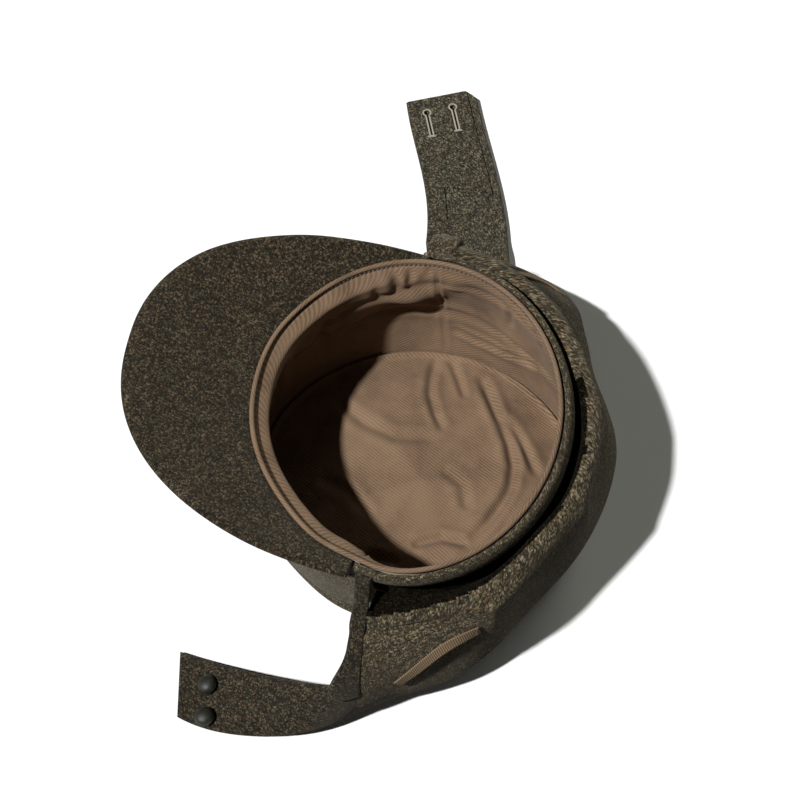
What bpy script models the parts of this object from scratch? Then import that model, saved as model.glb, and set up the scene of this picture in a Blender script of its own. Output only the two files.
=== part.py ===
"""Wool field cap with a soft peak and a fold-down ear flap, lying on its crown.

Metres, +Z up.  The middle of the crown's resting face is the origin, the peak
points to -X and the wearer's left is +Y.
"""

import math

import bmesh
import bpy
from mathutils import Matrix, Vector

PART_COLLECTION = "peaked_cap"
CUTTER_COLLECTION = "cutters"

# Cap size: a size 57 head, pulled wide by the flat peak
RIM_HALF_LENGTH = 0.0834
RIM_HALF_WIDTH = 0.0976
RIM_HEIGHT = 0.096
RIM_FORWARD = 0.009
CROWN_HALF_LENGTH = 0.097
CROWN_HALF_WIDTH = 0.093
CROWN_EDGE_HEIGHT = 0.012
CROWN_EDGE_ROUND = 0.011
WALL_BULGE = 0.004

# Cloth thicknesses and the seam clearance between touching pieces
WOOL = 0.0018
COTTON = 0.0008
CANVAS = 0.0008
TAPE = 0.0010
PEAK_BOARD = 0.0018
PEAK_WOOL = 0.0015
SEAM_GAP = 0.0003
SEAM_ANGLE = 0.2

# Wool band at the rim, its two corner tabs and the lining's rolled edge
BAND_THICKNESS = 0.0027
BAND_HEIGHT = 0.010
BAND_ABOVE_RIM = 0.0008
BAND_END = 86.0
TAB_END = 94.0
EDGE_ROLL_RADIUS = 0.0014
EDGE_ROLL_OFFSET = 0.0010
CANVAS_HEIGHT = 0.040

# Lining of the crown: loose, standing above the wool, with a few soft folds
LINING_EDGE_HEIGHT = 0.016
LINING_RISE = 0.008
LINING_FOLD = 0.0022
LINING_FOLD_COUNT = 7

# Peak
PEAK_END = 95.0
PEAK_LENGTH = 0.1450
PEAK_HALF_WIDTH = 0.1045
PEAK_CENTRE = 0.008
PEAK_SQUARENESS = 2.3
PEAK_SLOPE = 18.0
PEAK_ROOT_DROP = 0.0004
PEAK_ROOT = 0.0085
PEAK_HEM = 0.0070
PEAK_BOARD_END = 0.11
PEAK_SEAT = 0.0049

# Turn-up flap: seam on the wall, fold ridge, crease and free edge
FLAP_SEAM_DROP = 0.025
RIDGE_RADIUS = 0.0032
CREASE_OUT = 0.0225
CREASE_DROP = 0.022
CREASE_LIP = 0.0035
CREASE_DIP = 0.0050
HINGE_OUT = 0.0030
NECK_HALF_ANGLE = 14.0
EAR_REAR = 51.0
EAR_FRONT = 88.0
HEM_ANGLE = 5.0
HEM_THICKNESS = 0.0030
FOLD_SPLIT = 33.0
PANEL_GAP = 0.5
LEFT_SKEW = 11.0

# Drape of the flap round the cap: angle from the back in degrees, then the
# ridge as (outward, drop below the rim) and the middle and the free edge as
# (outward, height) pairs in metres
FLAP_DRAPE = (
    (-100.0, 0.0130, 0.014, 0.0500, 0.046, 0.0460, 0.0034),
    (-91.0, 0.0125, 0.014, 0.0440, 0.044, 0.0380, 0.0034),
    (-80.0, 0.0120, 0.014, 0.0310, 0.041, 0.0255, 0.0050),
    (-70.0, 0.0125, 0.014, 0.0260, 0.042, 0.0225, 0.0080),
    (-60.0, 0.0125, 0.013, 0.0240, 0.046, 0.0220, 0.0150),
    (-50.0, 0.0120, 0.012, 0.0230, 0.050, 0.0205, 0.0240),
    (-40.0, 0.0112, 0.011, 0.0195, 0.054, 0.0185, 0.0330),
    (-28.0, 0.0115, 0.009, 0.0200, 0.058, 0.0205, 0.0410),
    (-14.0, 0.0140, 0.007, 0.0235, 0.060, 0.0240, 0.0450),
    (0.0, 0.0148, 0.006, 0.0240, 0.061, 0.0270, 0.0470),
    (14.0, 0.0140, 0.006, 0.0255, 0.062, 0.0290, 0.0480),
    (30.0, 0.0116, 0.006, 0.0215, 0.065, 0.0235, 0.0540),
    (44.0, 0.0112, 0.006, 0.0250, 0.066, 0.0300, 0.0560),
    (54.0, 0.0112, 0.006, 0.0310, 0.063, 0.0420, 0.0460),
    (64.0, 0.0112, 0.006, 0.0355, 0.050, 0.0570, 0.0200),
    (74.0, 0.0112, 0.006, 0.0350, 0.032, 0.0670, 0.0060),
    (82.0, 0.0112, 0.006, 0.0350, 0.027, 0.0710, 0.0040),
    (94.0, 0.0112, 0.007, 0.0350, 0.025, 0.0740, 0.0036),
    (106.0, 0.0115, 0.008, 0.0350, 0.025, 0.0760, 0.0036),
)

# Straps that button over the front, lying on the floor
STRAP_LIE = 0.0030
STRAP_GAP = 0.0003
RIGHT_STRAP_ROOT = 0.50
RIGHT_STRAP_END = ((-0.1094, -0.1250), (-0.1008, -0.1630))
RIGHT_STRAP_LEAVES = (-0.048, -0.030, -0.030)
RIGHT_STRAP_ARRIVES = (-0.090, 0.018, 0.0)
RIGHT_STRAP_BOW = 0.045
LEFT_STRAP_REAR = 72.5
LEFT_STRAP_END = ((-0.0250, 0.2928), (-0.0675, 0.2728))

# Buttons, buttonholes and hanging tapes
BUTTON_RADIUS = 0.0056
BUTTON_HEIGHT = 0.0038
SHANK_RADIUS = 0.0016
SHANK_HEIGHT = 0.0010
BUTTON_PLACES = ((0.82, 0.38), (0.83, 0.86))
BUTTONHOLE_LENGTH = 0.020
BUTTONHOLE_SLIT = 0.0012
EYELET_RADIUS = 0.0020
BUTTONHOLE_PLACES = ((0.83, 0.37), (0.81, 0.74))
THREAD_RADIUS = 0.0007
PATCH_START = 0.38
PATCH_INSET = 0.07
PATCH_THICKNESS = 0.0012
TAPE_WIDTH = 0.0060
TAPE_BOW = 0.0024
RIGHT_TAPE = ((-79.0, 0.72), (-55.0, 0.28))
LEFT_TAPE = ((80.0, 0.90), (58.0, 0.66))

OUT_LINING = COTTON
IN_CANVAS = OUT_LINING + SEAM_GAP
IN_WOOL = IN_CANVAS + CANVAS + SEAM_GAP
OUT_WOOL = IN_WOOL + WOOL
IN_BAND = OUT_WOOL + SEAM_GAP
CREASE_HEIGHT = RIM_HEIGHT - CREASE_DROP
FLAP_HALF = WOOL + SEAM_GAP / 2.0
WALL_COLUMN = 7.5


def mix(low, high, amount):
    """Blend two numbers or vectors."""
    return low + (high - low) * amount


def soft(amount):
    """Ease an amount between 0 and 1."""
    held = min(1.0, max(0.0, amount))
    return held * held * (3.0 - 2.0 * held)


def wall_point(angle, height, offset):
    """Point on the side wall, offset outwards from the lining's inner face."""
    fall = (RIM_HEIGHT - height) / (RIM_HEIGHT - CROWN_EDGE_HEIGHT)
    swell = WALL_BULGE * math.sin(math.pi * min(1.0, max(0.0, fall))) + offset
    half_x = mix(RIM_HALF_LENGTH, CROWN_HALF_LENGTH - OUT_WOOL, fall) + swell
    half_y = mix(RIM_HALF_WIDTH, CROWN_HALF_WIDTH - OUT_WOOL, fall) + swell
    turn = math.radians(angle)
    middle = -RIM_FORWARD * (1.0 - fall)
    return Vector((middle + half_x * math.cos(turn), half_y * math.sin(turn), height))


def rim_point(angle, outward, height):
    """Point measured outwards from the wool at the rim."""
    turn = math.radians(angle)
    half_x = RIM_HALF_LENGTH + OUT_WOOL + outward
    half_y = RIM_HALF_WIDTH + OUT_WOOL + outward
    return Vector((-RIM_FORWARD + half_x * math.cos(turn), half_y * math.sin(turn), height))


def drape(angle):
    """Six drape values at an angle, by a cubic through the drape table."""
    table = FLAP_DRAPE
    index = 0
    while index < len(table) - 2 and table[index + 1][0] < angle:
        index += 1
    first = table[index]
    second = table[index + 1]
    before = table[max(0, index - 1)]
    after = table[min(len(table) - 1, index + 2)]
    span = second[0] - first[0]
    part = (angle - first[0]) / span
    values = []
    for column in range(1, 7):
        start = (second[column] - before[column]) / (second[0] - before[0]) * span
        finish = (after[column] - first[column]) / (after[0] - first[0]) * span
        cube = 2.0 * first[column] - 2.0 * second[column] + start + finish
        square = -3.0 * first[column] + 3.0 * second[column] - 2.0 * start - finish
        values.append(((cube * part + square) * part + start) * part + first[column])
    return values


def crease_point(angle):
    """Point on the flap's crease: straight across each moving panel."""
    spans = ((-EAR_FRONT, -EAR_REAR), (-NECK_HALF_ANGLE, NECK_HALF_ANGLE), (EAR_REAR, EAR_FRONT))
    for start, finish in spans:
        if start <= angle <= finish:
            first = rim_point(start, CREASE_OUT, CREASE_HEIGHT)
            second = rim_point(finish, CREASE_OUT, CREASE_HEIGHT)
            return mix(first, second, (angle - start) / (finish - start))
    part = (abs(angle) - NECK_HALF_ANGLE) / (EAR_REAR - NECK_HALF_ANGLE)
    dip = CREASE_DIP * math.sin(math.pi * min(1.0, max(0.0, part)))
    return rim_point(angle, CREASE_OUT - dip, CREASE_HEIGHT)


def skirt_point(angle, along):
    """Point on the middle of the hanging part, from crease to free edge."""
    _, _, mid_out, mid_height, edge_out, edge_height = drape(angle)
    crease = crease_point(angle)
    skew = LEFT_SKEW * soft((angle - EAR_REAR) / (EAR_FRONT - EAR_REAR))
    middle = rim_point(angle + skew * 0.4, mid_out, mid_height)
    edge = rim_point(angle + skew, edge_out, edge_height)
    control = middle * 2.0 - (crease + edge) * 0.5
    rest = 1.0 - along
    return crease * (rest * rest) + control * (2.0 * rest * along) + edge * (along * along)


def skirt_normal(angle, along):
    """Outward direction of the hanging part."""
    turn = skirt_point(angle + 0.5, along) - skirt_point(angle - 0.5, along)
    fall = skirt_point(angle, along + 0.01) - skirt_point(angle, along - 0.01)
    return fall.cross(turn).normalized()


def fold_point(angle, row):
    """Point on the standing part, from the wall seam over the ridge to the crease."""
    ridge_out, ridge_drop = drape(angle)[:2]
    ridge_height = RIM_HEIGHT - ridge_drop
    if row == 0:
        return wall_point(angle, RIM_HEIGHT - FLAP_SEAM_DROP, OUT_WOOL + SEAM_GAP + FLAP_HALF * 1.35)
    if row >= 6:
        crease = crease_point(angle)
        back = (crease - skirt_point(angle, 0.05)).normalized()
        return crease + back * CREASE_LIP * (7 - row)
    turn = math.radians(mix(186.0, 34.0, (row - 1) / 4.0))
    return rim_point(
        angle,
        ridge_out + RIDGE_RADIUS * math.cos(turn),
        ridge_height - RIDGE_RADIUS + RIDGE_RADIUS * math.sin(turn),
    )


def collection_named(name):
    """Make a collection in the scene."""
    made = bpy.data.collections.new(name)
    bpy.context.scene.collection.children.link(made)
    return made


def material_named(name, colour, roughness, metallic=0.0):
    """Make a plain Principled material."""
    made = bpy.data.materials.new(name)
    made.use_nodes = True
    shader = made.node_tree.nodes["Principled BSDF"]
    shader.inputs["Base Color"].default_value = (*colour, 1.0)
    shader.inputs["Roughness"].default_value = roughness
    shader.inputs["Metallic"].default_value = metallic
    made.diffuse_color = (*colour, 1.0)
    return made


def object_named(name, data, material, group):
    """Link mesh or curve data as a named object."""
    made = bpy.data.objects.new(name, data)
    group.objects.link(made)
    if material is not None:
        data.materials.append(material)
    return made


def sheet(name, columns, rows, place, thickness, material, group, lift=None):
    """A cloth piece: a grid laid on a surface and thickened along its normals."""
    shape = bmesh.new()
    bmesh.ops.create_grid(shape, x_segments=columns, y_segments=rows, size=0.5)
    spots = {}
    for vertex in shape.verts:
        spots[vertex] = (vertex.co.x + 0.5, vertex.co.y + 0.5)
        vertex.co = place(*spots[vertex])
    shape.normal_update()
    if lift is not None:
        raised = {vertex: vertex.normal * lift(*spots[vertex]) for vertex in shape.verts}
        for vertex, move in raised.items():
            vertex.co += move
    mesh = bpy.data.meshes.new(name)
    shape.to_mesh(mesh)
    shape.free()
    made = object_named(name, mesh, material, group)
    shell = made.modifiers.new("Cloth thickness", "SOLIDIFY")
    shell.thickness = abs(thickness)
    shell.offset = 1.0 if thickness > 0.0 else -1.0
    shell.use_even_offset = True
    shell.use_quality_normals = True
    return made


def turned(name, profile, steps, material, group):
    """A solid of revolution from a profile run down its outer side."""
    mesh = bpy.data.meshes.new(name)
    edges = [(index, index + 1) for index in range(len(profile) - 1)]
    mesh.from_pydata([(radius, 0.0, height) for radius, height in profile], edges, [])
    made = object_named(name, mesh, material, group)
    spin = made.modifiers.new("Turn", "SCREW")
    spin.steps = steps
    spin.render_steps = steps
    spin.use_merge_vertices = True
    spin.merge_threshold = 0.00005
    spin.use_normal_calculate = True
    return made


def tube(name, points, radius, material, group, sides):
    """A closed round cord through points."""
    curve = bpy.data.curves.new(name, "CURVE")
    curve.dimensions = "3D"
    curve.bevel_depth = radius
    curve.bevel_resolution = sides
    curve.use_fill_caps = False
    spline = curve.splines.new("POLY")
    spline.points.add(len(points) - 1)
    for knot, point in zip(spline.points, points):
        knot.co = (*point, 1.0)
    spline.use_cyclic_u = True
    return object_named(name, curve, material, group)


def wall_sheet(name, start, finish, low, high, offset, thickness, material, group, rows=6):
    """A wall panel between two angles and two heights."""
    columns = max(2, round((finish - start) / WALL_COLUMN))

    def place(across, up):
        return wall_point(mix(start, finish, across), mix(low, high, up), offset)

    return sheet(name, columns, rows, place, thickness, material, group)


def crown_panels(wool, group):
    """The wool crown: tip and three side panels."""
    high = RIM_HEIGHT - EDGE_ROLL_RADIUS - SEAM_GAP
    low = CROWN_EDGE_HEIGHT + SEAM_GAP * 3.0
    turn = SEAM_ANGLE / 2.0
    seat = RIM_HEIGHT - PEAK_SEAT
    for name, start, finish, top in (
        ("side_panel_back", -90.0, 90.0, high),
        ("side_panel_front_left", 90.0, 180.0, seat),
        ("side_panel_front_right", 180.0, 270.0, seat),
    ):
        wall_sheet(
            name, start + turn, finish - turn, low, top, IN_WOOL, WOOL, wool, group
        )
    reach = CROWN_HALF_LENGTH
    inner = CROWN_EDGE_ROUND - WOOL
    profile = [(0.0, WOOL), (reach - CROWN_EDGE_ROUND, WOOL)]
    for step in range(1, 5):
        turn = math.radians(90.0 * step / 4.0)
        profile.append(
            (
                reach - CROWN_EDGE_ROUND + inner * math.sin(turn),
                CROWN_EDGE_ROUND - inner * math.cos(turn),
            )
        )
    profile.append((reach - WOOL, CROWN_EDGE_HEIGHT))
    profile.append((reach, CROWN_EDGE_HEIGHT))
    for step in range(4, 0, -1):
        turn = math.radians(90.0 * step / 4.0)
        profile.append(
            (
                reach - CROWN_EDGE_ROUND + CROWN_EDGE_ROUND * math.sin(turn),
                CROWN_EDGE_ROUND - CROWN_EDGE_ROUND * math.cos(turn),
            )
        )
    profile.append((reach - CROWN_EDGE_ROUND, 0.0))
    profile.append((0.0, 0.0))
    tip = turned("crown_tip", profile, 48, wool, group)
    tip.scale = (1.0, CROWN_HALF_WIDTH / CROWN_HALF_LENGTH, 1.0)


def lining_panels(cotton, canvas, group):
    """The cotton lining, its rolled edge and the canvas behind it."""
    high = RIM_HEIGHT - EDGE_ROLL_RADIUS - SEAM_GAP
    low = LINING_EDGE_HEIGHT
    turn = SEAM_ANGLE / 2.0
    for name, start, finish in (
        ("lining_back", -91.0, 91.0),
        ("lining_front_left", 91.0, 180.0),
        ("lining_front_right", 180.0, 269.0),
    ):
        wall_sheet(
            name, start + turn, finish - turn, low, high, 0.0, COTTON, cotton, group
        )
    for name, start, finish in (
        ("stiffening_left", 0.0, 180.0),
        ("stiffening_right", 180.0, 360.0),
    ):
        wall_sheet(
            name, start + turn, finish - turn, high - CANVAS_HEIGHT, high,
            IN_CANVAS, CANVAS, canvas, group, rows=3,
        )
    edge = []
    for step in range(56):
        angle = 360.0 * step / 56.0
        edge.append(wall_point(angle, RIM_HEIGHT, EDGE_ROLL_OFFSET))
    tube("lining_edge", edge, EDGE_ROLL_RADIUS, cotton, group, 1)

    def place(across, along):
        side = across * 2.0 - 1.0
        ahead = along * 2.0 - 1.0
        disc_x = side * math.sqrt(1.0 - ahead * ahead / 2.0)
        disc_y = ahead * math.sqrt(1.0 - side * side / 2.0)
        radius = math.hypot(disc_x, disc_y)
        angle = math.atan2(disc_y, disc_x)
        rise = LINING_RISE * soft((1.0 - radius) / 0.5)
        waves = math.sin(LINING_FOLD_COUNT * angle + 3.0 * radius)
        folds = LINING_FOLD * waves * soft(radius / 0.5) * soft((1.0 - radius) / 0.25)
        border = wall_point(math.degrees(angle), LINING_EDGE_HEIGHT - COTTON - SEAM_GAP, COTTON)
        flat = Vector((border.x * radius, border.y * radius, border.z))
        return flat + Vector((0.0, 0.0, rise + folds))

    sheet("lining_tip", 20, 20, place, -COTTON, cotton, group)


def rim_band(wool, group):
    """The wool band round the rim behind the peak, and its two corner tabs."""
    low = RIM_HEIGHT + BAND_ABOVE_RIM - BAND_HEIGHT
    high = RIM_HEIGHT + BAND_ABOVE_RIM
    turn = SEAM_ANGLE / 2.0
    for name, start, finish in (
        ("rim_band_left", 0.0, BAND_END),
        ("rim_band_right", -BAND_END, 0.0),
        ("corner_tab_left", BAND_END, TAB_END),
        ("corner_tab_right", -TAB_END, -BAND_END),
    ):
        made = wall_sheet(
            name, start + turn, finish - turn, low, high,
            IN_BAND, BAND_THICKNESS, wool, group, rows=1,
        )
        edge = made.modifiers.new("Rolled edge", "BEVEL")
        edge.width = BAND_THICKNESS * 0.3
        edge.segments = 2
        edge.limit_method = "ANGLE"
        edge.angle_limit = math.radians(50.0)


def peak_middle(across, out):
    """Point on the middle surface of the peak."""
    span = 180.0 - PEAK_END
    stack = SEAM_GAP / 2.0 + PEAK_WOOL
    lean = 2.0 * stack * math.sin(math.radians(PEAK_SLOPE))
    root = EDGE_ROLL_OFFSET + EDGE_ROLL_RADIUS + SEAM_GAP + lean * 1.1
    inner = wall_point(180.0 - mix(-span, span, across), RIM_HEIGHT, root)
    turn = math.radians(mix(-90.0, 90.0, across))
    power = 2.0 / PEAK_SQUARENESS
    forward = abs(math.cos(turn)) ** power
    sideways = math.copysign(abs(math.sin(turn)) ** power, math.sin(turn))
    outer = Vector(
        (
            -RIM_FORWARD - PEAK_CENTRE - PEAK_LENGTH * forward,
            PEAK_HALF_WIDTH * sideways,
            RIM_HEIGHT,
        )
    )
    reach = (outer - inner).length
    point = mix(inner, outer, out)
    point.z = RIM_HEIGHT - stack - PEAK_ROOT_DROP
    point.z += math.tan(math.radians(PEAK_SLOPE)) * reach * out
    return point


def peak_reach(across):
    """Width of the peak from its seam to its outer edge."""
    return (peak_middle(across, 1.0) - peak_middle(across, 0.0)).length


def peak(wool, board, group):
    """The peak: a board between two wool covers that close on each other round it."""

    def narrow(across, out):
        share = mix(PEAK_BOARD_END, 1.0 - PEAK_BOARD_END, across)
        reach = peak_reach(share)
        near = PEAK_ROOT * 1.15 / reach
        far = 1.0 - PEAK_HEM * 1.25 / reach
        return peak_middle(share, mix(near, far, out))

    def cover_lift(across, out):
        reach = peak_reach(across)
        full = PEAK_BOARD / 2.0 + SEAM_GAP * 1.7
        tight = SEAM_GAP / 2.0
        open_root = soft(out * reach / PEAK_ROOT)
        open_rim = soft((1.0 - out) * reach / PEAK_HEM)
        open_end = soft((0.5 - abs(across - 0.5)) * 1.2 / PEAK_BOARD_END)
        return mix(tight, full, open_root * open_rim * open_end)

    def upper_lift(across, out):
        return -cover_lift(across, out)

    half = PEAK_BOARD / 2.0
    sheet("peak_board", 24, 4, narrow, PEAK_BOARD, board, group, lambda across, out: -half)
    sheet("peak_under_cover", 30, 10, peak_middle, PEAK_WOOL, wool, group, cover_lift)
    sheet("peak_upper_cover", 30, 10, peak_middle, -PEAK_WOOL, wool, group, upper_lift)


def flap_folds(wool, group):
    """The standing part of the flap, sewn to the wall and folded over its ridge."""
    turn = SEAM_ANGLE / 2.0
    for name, start, finish in (
        ("flap_fold_right", -EAR_FRONT - HEM_ANGLE, -FOLD_SPLIT),
        ("flap_fold_back", -FOLD_SPLIT, FOLD_SPLIT),
        ("flap_fold_left", FOLD_SPLIT, EAR_FRONT + HEM_ANGLE),
    ):
        low = start + turn
        high = finish - turn

        def place(across, along):
            return fold_point(mix(high, low, across), round(along * 7.0))

        columns = round((finish - start) / 5.0)
        sheet(
            name, columns, 7, place, FLAP_HALF * 2.0, wool, group,
            lambda across, along: -FLAP_HALF,
        )


def skirt_panel(name, start, finish, wool, group, columns, rows):
    """One hanging stretch of the flap: a facing ply outside a shell ply."""
    low = start + PANEL_GAP / 2.0
    high = finish - PANEL_GAP / 2.0

    def place(across, along):
        angle = mix(high, low, across)
        length = (skirt_point(angle, 0.1) - skirt_point(angle, 0.0)).length * 10.0
        return skirt_point(angle, mix(SEAM_GAP * 2.0 / length, 1.0, along))

    gap = SEAM_GAP / 2.0
    sheet(name + "_facing", columns, rows, place, WOOL, wool, group, lambda a, b: gap)
    sheet(name + "_shell", columns, rows, place, -WOOL, wool, group, lambda a, b: -gap)


def hem(name, start, finish, bottom, wool, group):
    """The stitched strip down the front edge of an ear flap."""

    def place(across, along):
        angle = mix(finish - PANEL_GAP / 2.0, start + PANEL_GAP / 2.0, across)
        return skirt_point(angle, mix(0.03, bottom, along))

    half = HEM_THICKNESS / 2.0
    sheet(name, 2, 8, place, HEM_THICKNESS, wool, group, lambda a, b: -half)


def tape_loop(name, ends, cotton, group):
    """A hanging tape sewn at both ends to the facing of an ear flap."""
    first, second = ends

    def centre(along):
        angle = mix(first[0], second[0], along)
        fall = mix(first[1], second[1], along)
        stand = FLAP_HALF + SEAM_GAP * 1.5 + TAPE_BOW * math.sin(math.pi * along)
        return skirt_point(angle, fall) + skirt_normal(angle, fall) * stand

    def place(along, across):
        angle = mix(first[0], second[0], along)
        fall = mix(first[1], second[1], along)
        run = centre(along + 0.01) - centre(along - 0.01)
        side = skirt_normal(angle, fall).cross(run).normalized()
        return centre(along) + side * (across - 0.5) * TAPE_WIDTH

    return sheet(name, 12, 1, place, TAPE, cotton, group)


def right_strap_place(along, across):
    """Middle surface of the right strap: upright at its root, flat at its end."""
    start = skirt_point(-EAR_FRONT, mix(RIGHT_STRAP_ROOT, 1.0, across))
    upper, lower = RIGHT_STRAP_END
    finish = Vector((*mix(Vector(upper), Vector(lower), across), STRAP_LIE))
    leaves = Vector(RIGHT_STRAP_LEAVES)
    leaves.z *= 1.0 - across
    leaves.y -= RIGHT_STRAP_BOW * across
    arrives = Vector(RIGHT_STRAP_ARRIVES)
    arrives.y += RIGHT_STRAP_BOW * 0.3 * across
    start = start + leaves.normalized() * STRAP_GAP
    start.z = max(start.z, STRAP_LIE)
    square = along * along
    cube = square * along
    return (
        start * (2.0 * cube - 3.0 * square + 1.0)
        + leaves * (cube - 2.0 * square + along)
        + finish * (3.0 * square - 2.0 * cube)
        + arrives * (cube - square)
    )


def left_strap_place(along, across):
    """Middle surface of the left strap, flat on the floor."""
    angle = mix(LEFT_STRAP_REAR, EAR_FRONT - PANEL_GAP, across)
    start = skirt_point(angle, 1.0)
    rear, front = LEFT_STRAP_END
    finish = Vector((*mix(Vector(rear), Vector(front), across), STRAP_LIE))
    start.z = STRAP_LIE
    run = (finish - start).normalized()
    return mix(start + run * STRAP_GAP * 4.0, finish, along)


def surface_normal(place, along, across):
    """Upward direction of a placed surface."""
    run = place(along + 0.01, across) - place(along - 0.01, across)
    side = place(along, across + 0.01) - place(along, across - 0.01)
    return run.cross(side).normalized()


def straps(wool, group):
    """Both straps, each a facing ply over a shell ply."""
    gap = SEAM_GAP / 2.0
    made = {}
    for name, place in (("right_strap", right_strap_place), ("left_strap", left_strap_place)):
        made[name + "_facing"] = sheet(
            name + "_facing", 14, 5, place, WOOL, wool, group, lambda a, b: gap
        )
        made[name + "_shell"] = sheet(
            name + "_shell", 14, 5, place, -WOOL, wool, group, lambda a, b: -gap
        )
    return made


def buttons(horn, thread, group):
    """Two domed buttons on thread shanks near the end of the right strap."""
    for label, (along, across) in zip(("upper", "lower"), BUTTON_PLACES):
        normal = surface_normal(right_strap_place, along, across)
        foot = right_strap_place(along, across) + normal * (FLAP_HALF + SEAM_GAP)
        tilt = normal.to_track_quat("Z", "Y").to_euler()
        neck = SHANK_HEIGHT
        shape = bmesh.new()
        bmesh.ops.create_cone(
            shape, cap_ends=True, segments=12, radius1=SHANK_RADIUS * 1.15,
            radius2=SHANK_RADIUS, depth=neck,
        )
        mesh = bpy.data.meshes.new(label + "_button_thread")
        shape.to_mesh(mesh)
        shape.free()
        shank = object_named(label + "_button_thread", mesh, thread, group)
        shank.location = foot + normal * neck / 2.0
        shank.rotation_euler = tilt
        profile = []
        for step in range(6):
            turn = math.radians(90.0 - 15.0 * step)
            profile.append((BUTTON_RADIUS * math.cos(turn), BUTTON_HEIGHT * math.sin(turn)))
        profile[0] = (0.0, BUTTON_HEIGHT)
        profile.append((BUTTON_RADIUS, 0.0))
        profile.append((BUTTON_RADIUS * 0.86, -BUTTON_HEIGHT * 0.16))
        profile.append((0.0, -BUTTON_HEIGHT * 0.16))
        dome = turned(label + "_button", profile, 20, horn, group)
        dome.location = foot + normal * (neck + SEAM_GAP + BUTTON_HEIGHT * 0.16)
        dome.rotation_euler = tilt


def buttonhole_frame(along, across):
    """Middle, run and side directions of a buttonhole on the left strap."""
    middle = left_strap_place(along, across)
    run = (left_strap_place(1.0, across) - left_strap_place(0.5, across)).normalized()
    side = Vector((0.0, 0.0, 1.0)).cross(run)
    return middle, run, side


def buttonholes(made, wool, thread, group, cutters):
    """The facing patch, the two keyhole slits and their stitched edges."""

    def place(along, across):
        inside = mix(PATCH_INSET, 1.0 - PATCH_INSET, across)
        point = left_strap_place(mix(PATCH_START, 0.985, along), inside)
        return point + Vector((0.0, 0.0, FLAP_HALF + SEAM_GAP))

    patch = sheet("buttonhole_patch", 8, 4, place, PATCH_THICKNESS, wool, group)
    layers = (patch, made["left_strap_facing"], made["left_strap_shell"])
    top = STRAP_LIE + FLAP_HALF + SEAM_GAP + PATCH_THICKNESS
    for label, (along, across) in zip(("rear", "front"), BUTTONHOLE_PLACES):
        middle, run, side = buttonhole_frame(along, across)
        turn = math.atan2(run.y, run.x)
        eye = middle + run * (BUTTONHOLE_LENGTH / 2.0 - EYELET_RADIUS)
        bpy.ops.mesh.primitive_cube_add(size=1.0, location=middle, rotation=(0.0, 0.0, turn))
        slit = bpy.context.object
        slit.scale = (BUTTONHOLE_LENGTH - 2.0 * EYELET_RADIUS, BUTTONHOLE_SLIT, 0.02)
        bpy.ops.mesh.primitive_cylinder_add(
            vertices=16, radius=EYELET_RADIUS, depth=0.02, location=eye
        )
        eyelet = bpy.context.object
        for cutter, kind in ((slit, "slit"), (eyelet, "eyelet")):
            cutter.name = label + "_" + kind + "_cutter"
            for owner in list(cutter.users_collection):
                owner.objects.unlink(cutter)
            cutters.objects.link(cutter)
            cutter.hide_render = True
            cutter.display_type = "WIRE"
            for layer in layers:
                cut = layer.modifiers.new(label + " " + kind, "BOOLEAN")
                cut.operation = "DIFFERENCE"
                cut.solver = "EXACT"
                cut.object = cutter
        wide = EYELET_RADIUS + THREAD_RADIUS * 1.6
        slim = BUTTONHOLE_SLIT / 2.0 + THREAD_RADIUS * 1.6
        far = BUTTONHOLE_LENGTH / 2.0 - EYELET_RADIUS
        path = []
        for step in range(9):
            angle = math.radians(-125.0 + 250.0 * step / 8.0)
            path.append((far + wide * math.cos(angle), wide * math.sin(angle)))
        path.append((far - wide * 1.6, slim))
        path.append((-far, slim))
        path.append((-far - slim, 0.0))
        path.append((-far, -slim))
        path.append((far - wide * 1.6, -slim))
        height = Vector((0.0, 0.0, top + SEAM_GAP + THREAD_RADIUS - middle.z))
        points = [middle + run * ahead + side * aside + height for ahead, aside in path]
        tube(label + "_buttonhole_stitching", points, THREAD_RADIUS, thread, group, 1)


def crease_hinge(start, finish):
    """Point on a panel's hinge: outside the middle of its straight crease."""
    first = rim_point(start, CREASE_OUT, CREASE_HEIGHT)
    second = rim_point(finish, CREASE_OUT, CREASE_HEIGHT)
    outward = (second - first).cross(Vector((0.0, 0.0, 1.0))).normalized()
    return mix(first, second, 0.5) + outward * HINGE_OUT


def right_strap_hinge():
    """Point on the upright line that the right strap swings about."""
    root = skirt_point(-EAR_FRONT, RIGHT_STRAP_ROOT)
    return root + Vector((0.0, -FLAP_HALF - HINGE_OUT / 2.0, 0.0))


def left_strap_hinge():
    """Point on the line along the left strap's root that it lifts about."""
    root = left_strap_place(0.0, 0.5)
    return root + Vector((0.0, 0.0, FLAP_HALF + HINGE_OUT / 2.0))


def hang(name, point, pieces, group):
    """Parent the pieces of a moving body to an empty on its joint's axis."""
    pivot = bpy.data.objects.new(name, None)
    group.objects.link(pivot)
    pivot.empty_display_size = 0.02
    pivot.location = point
    for piece in pieces:
        item = bpy.data.objects[piece]
        item.parent = pivot
        item.matrix_parent_inverse = Matrix.Translation(-point)
    return pivot


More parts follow.
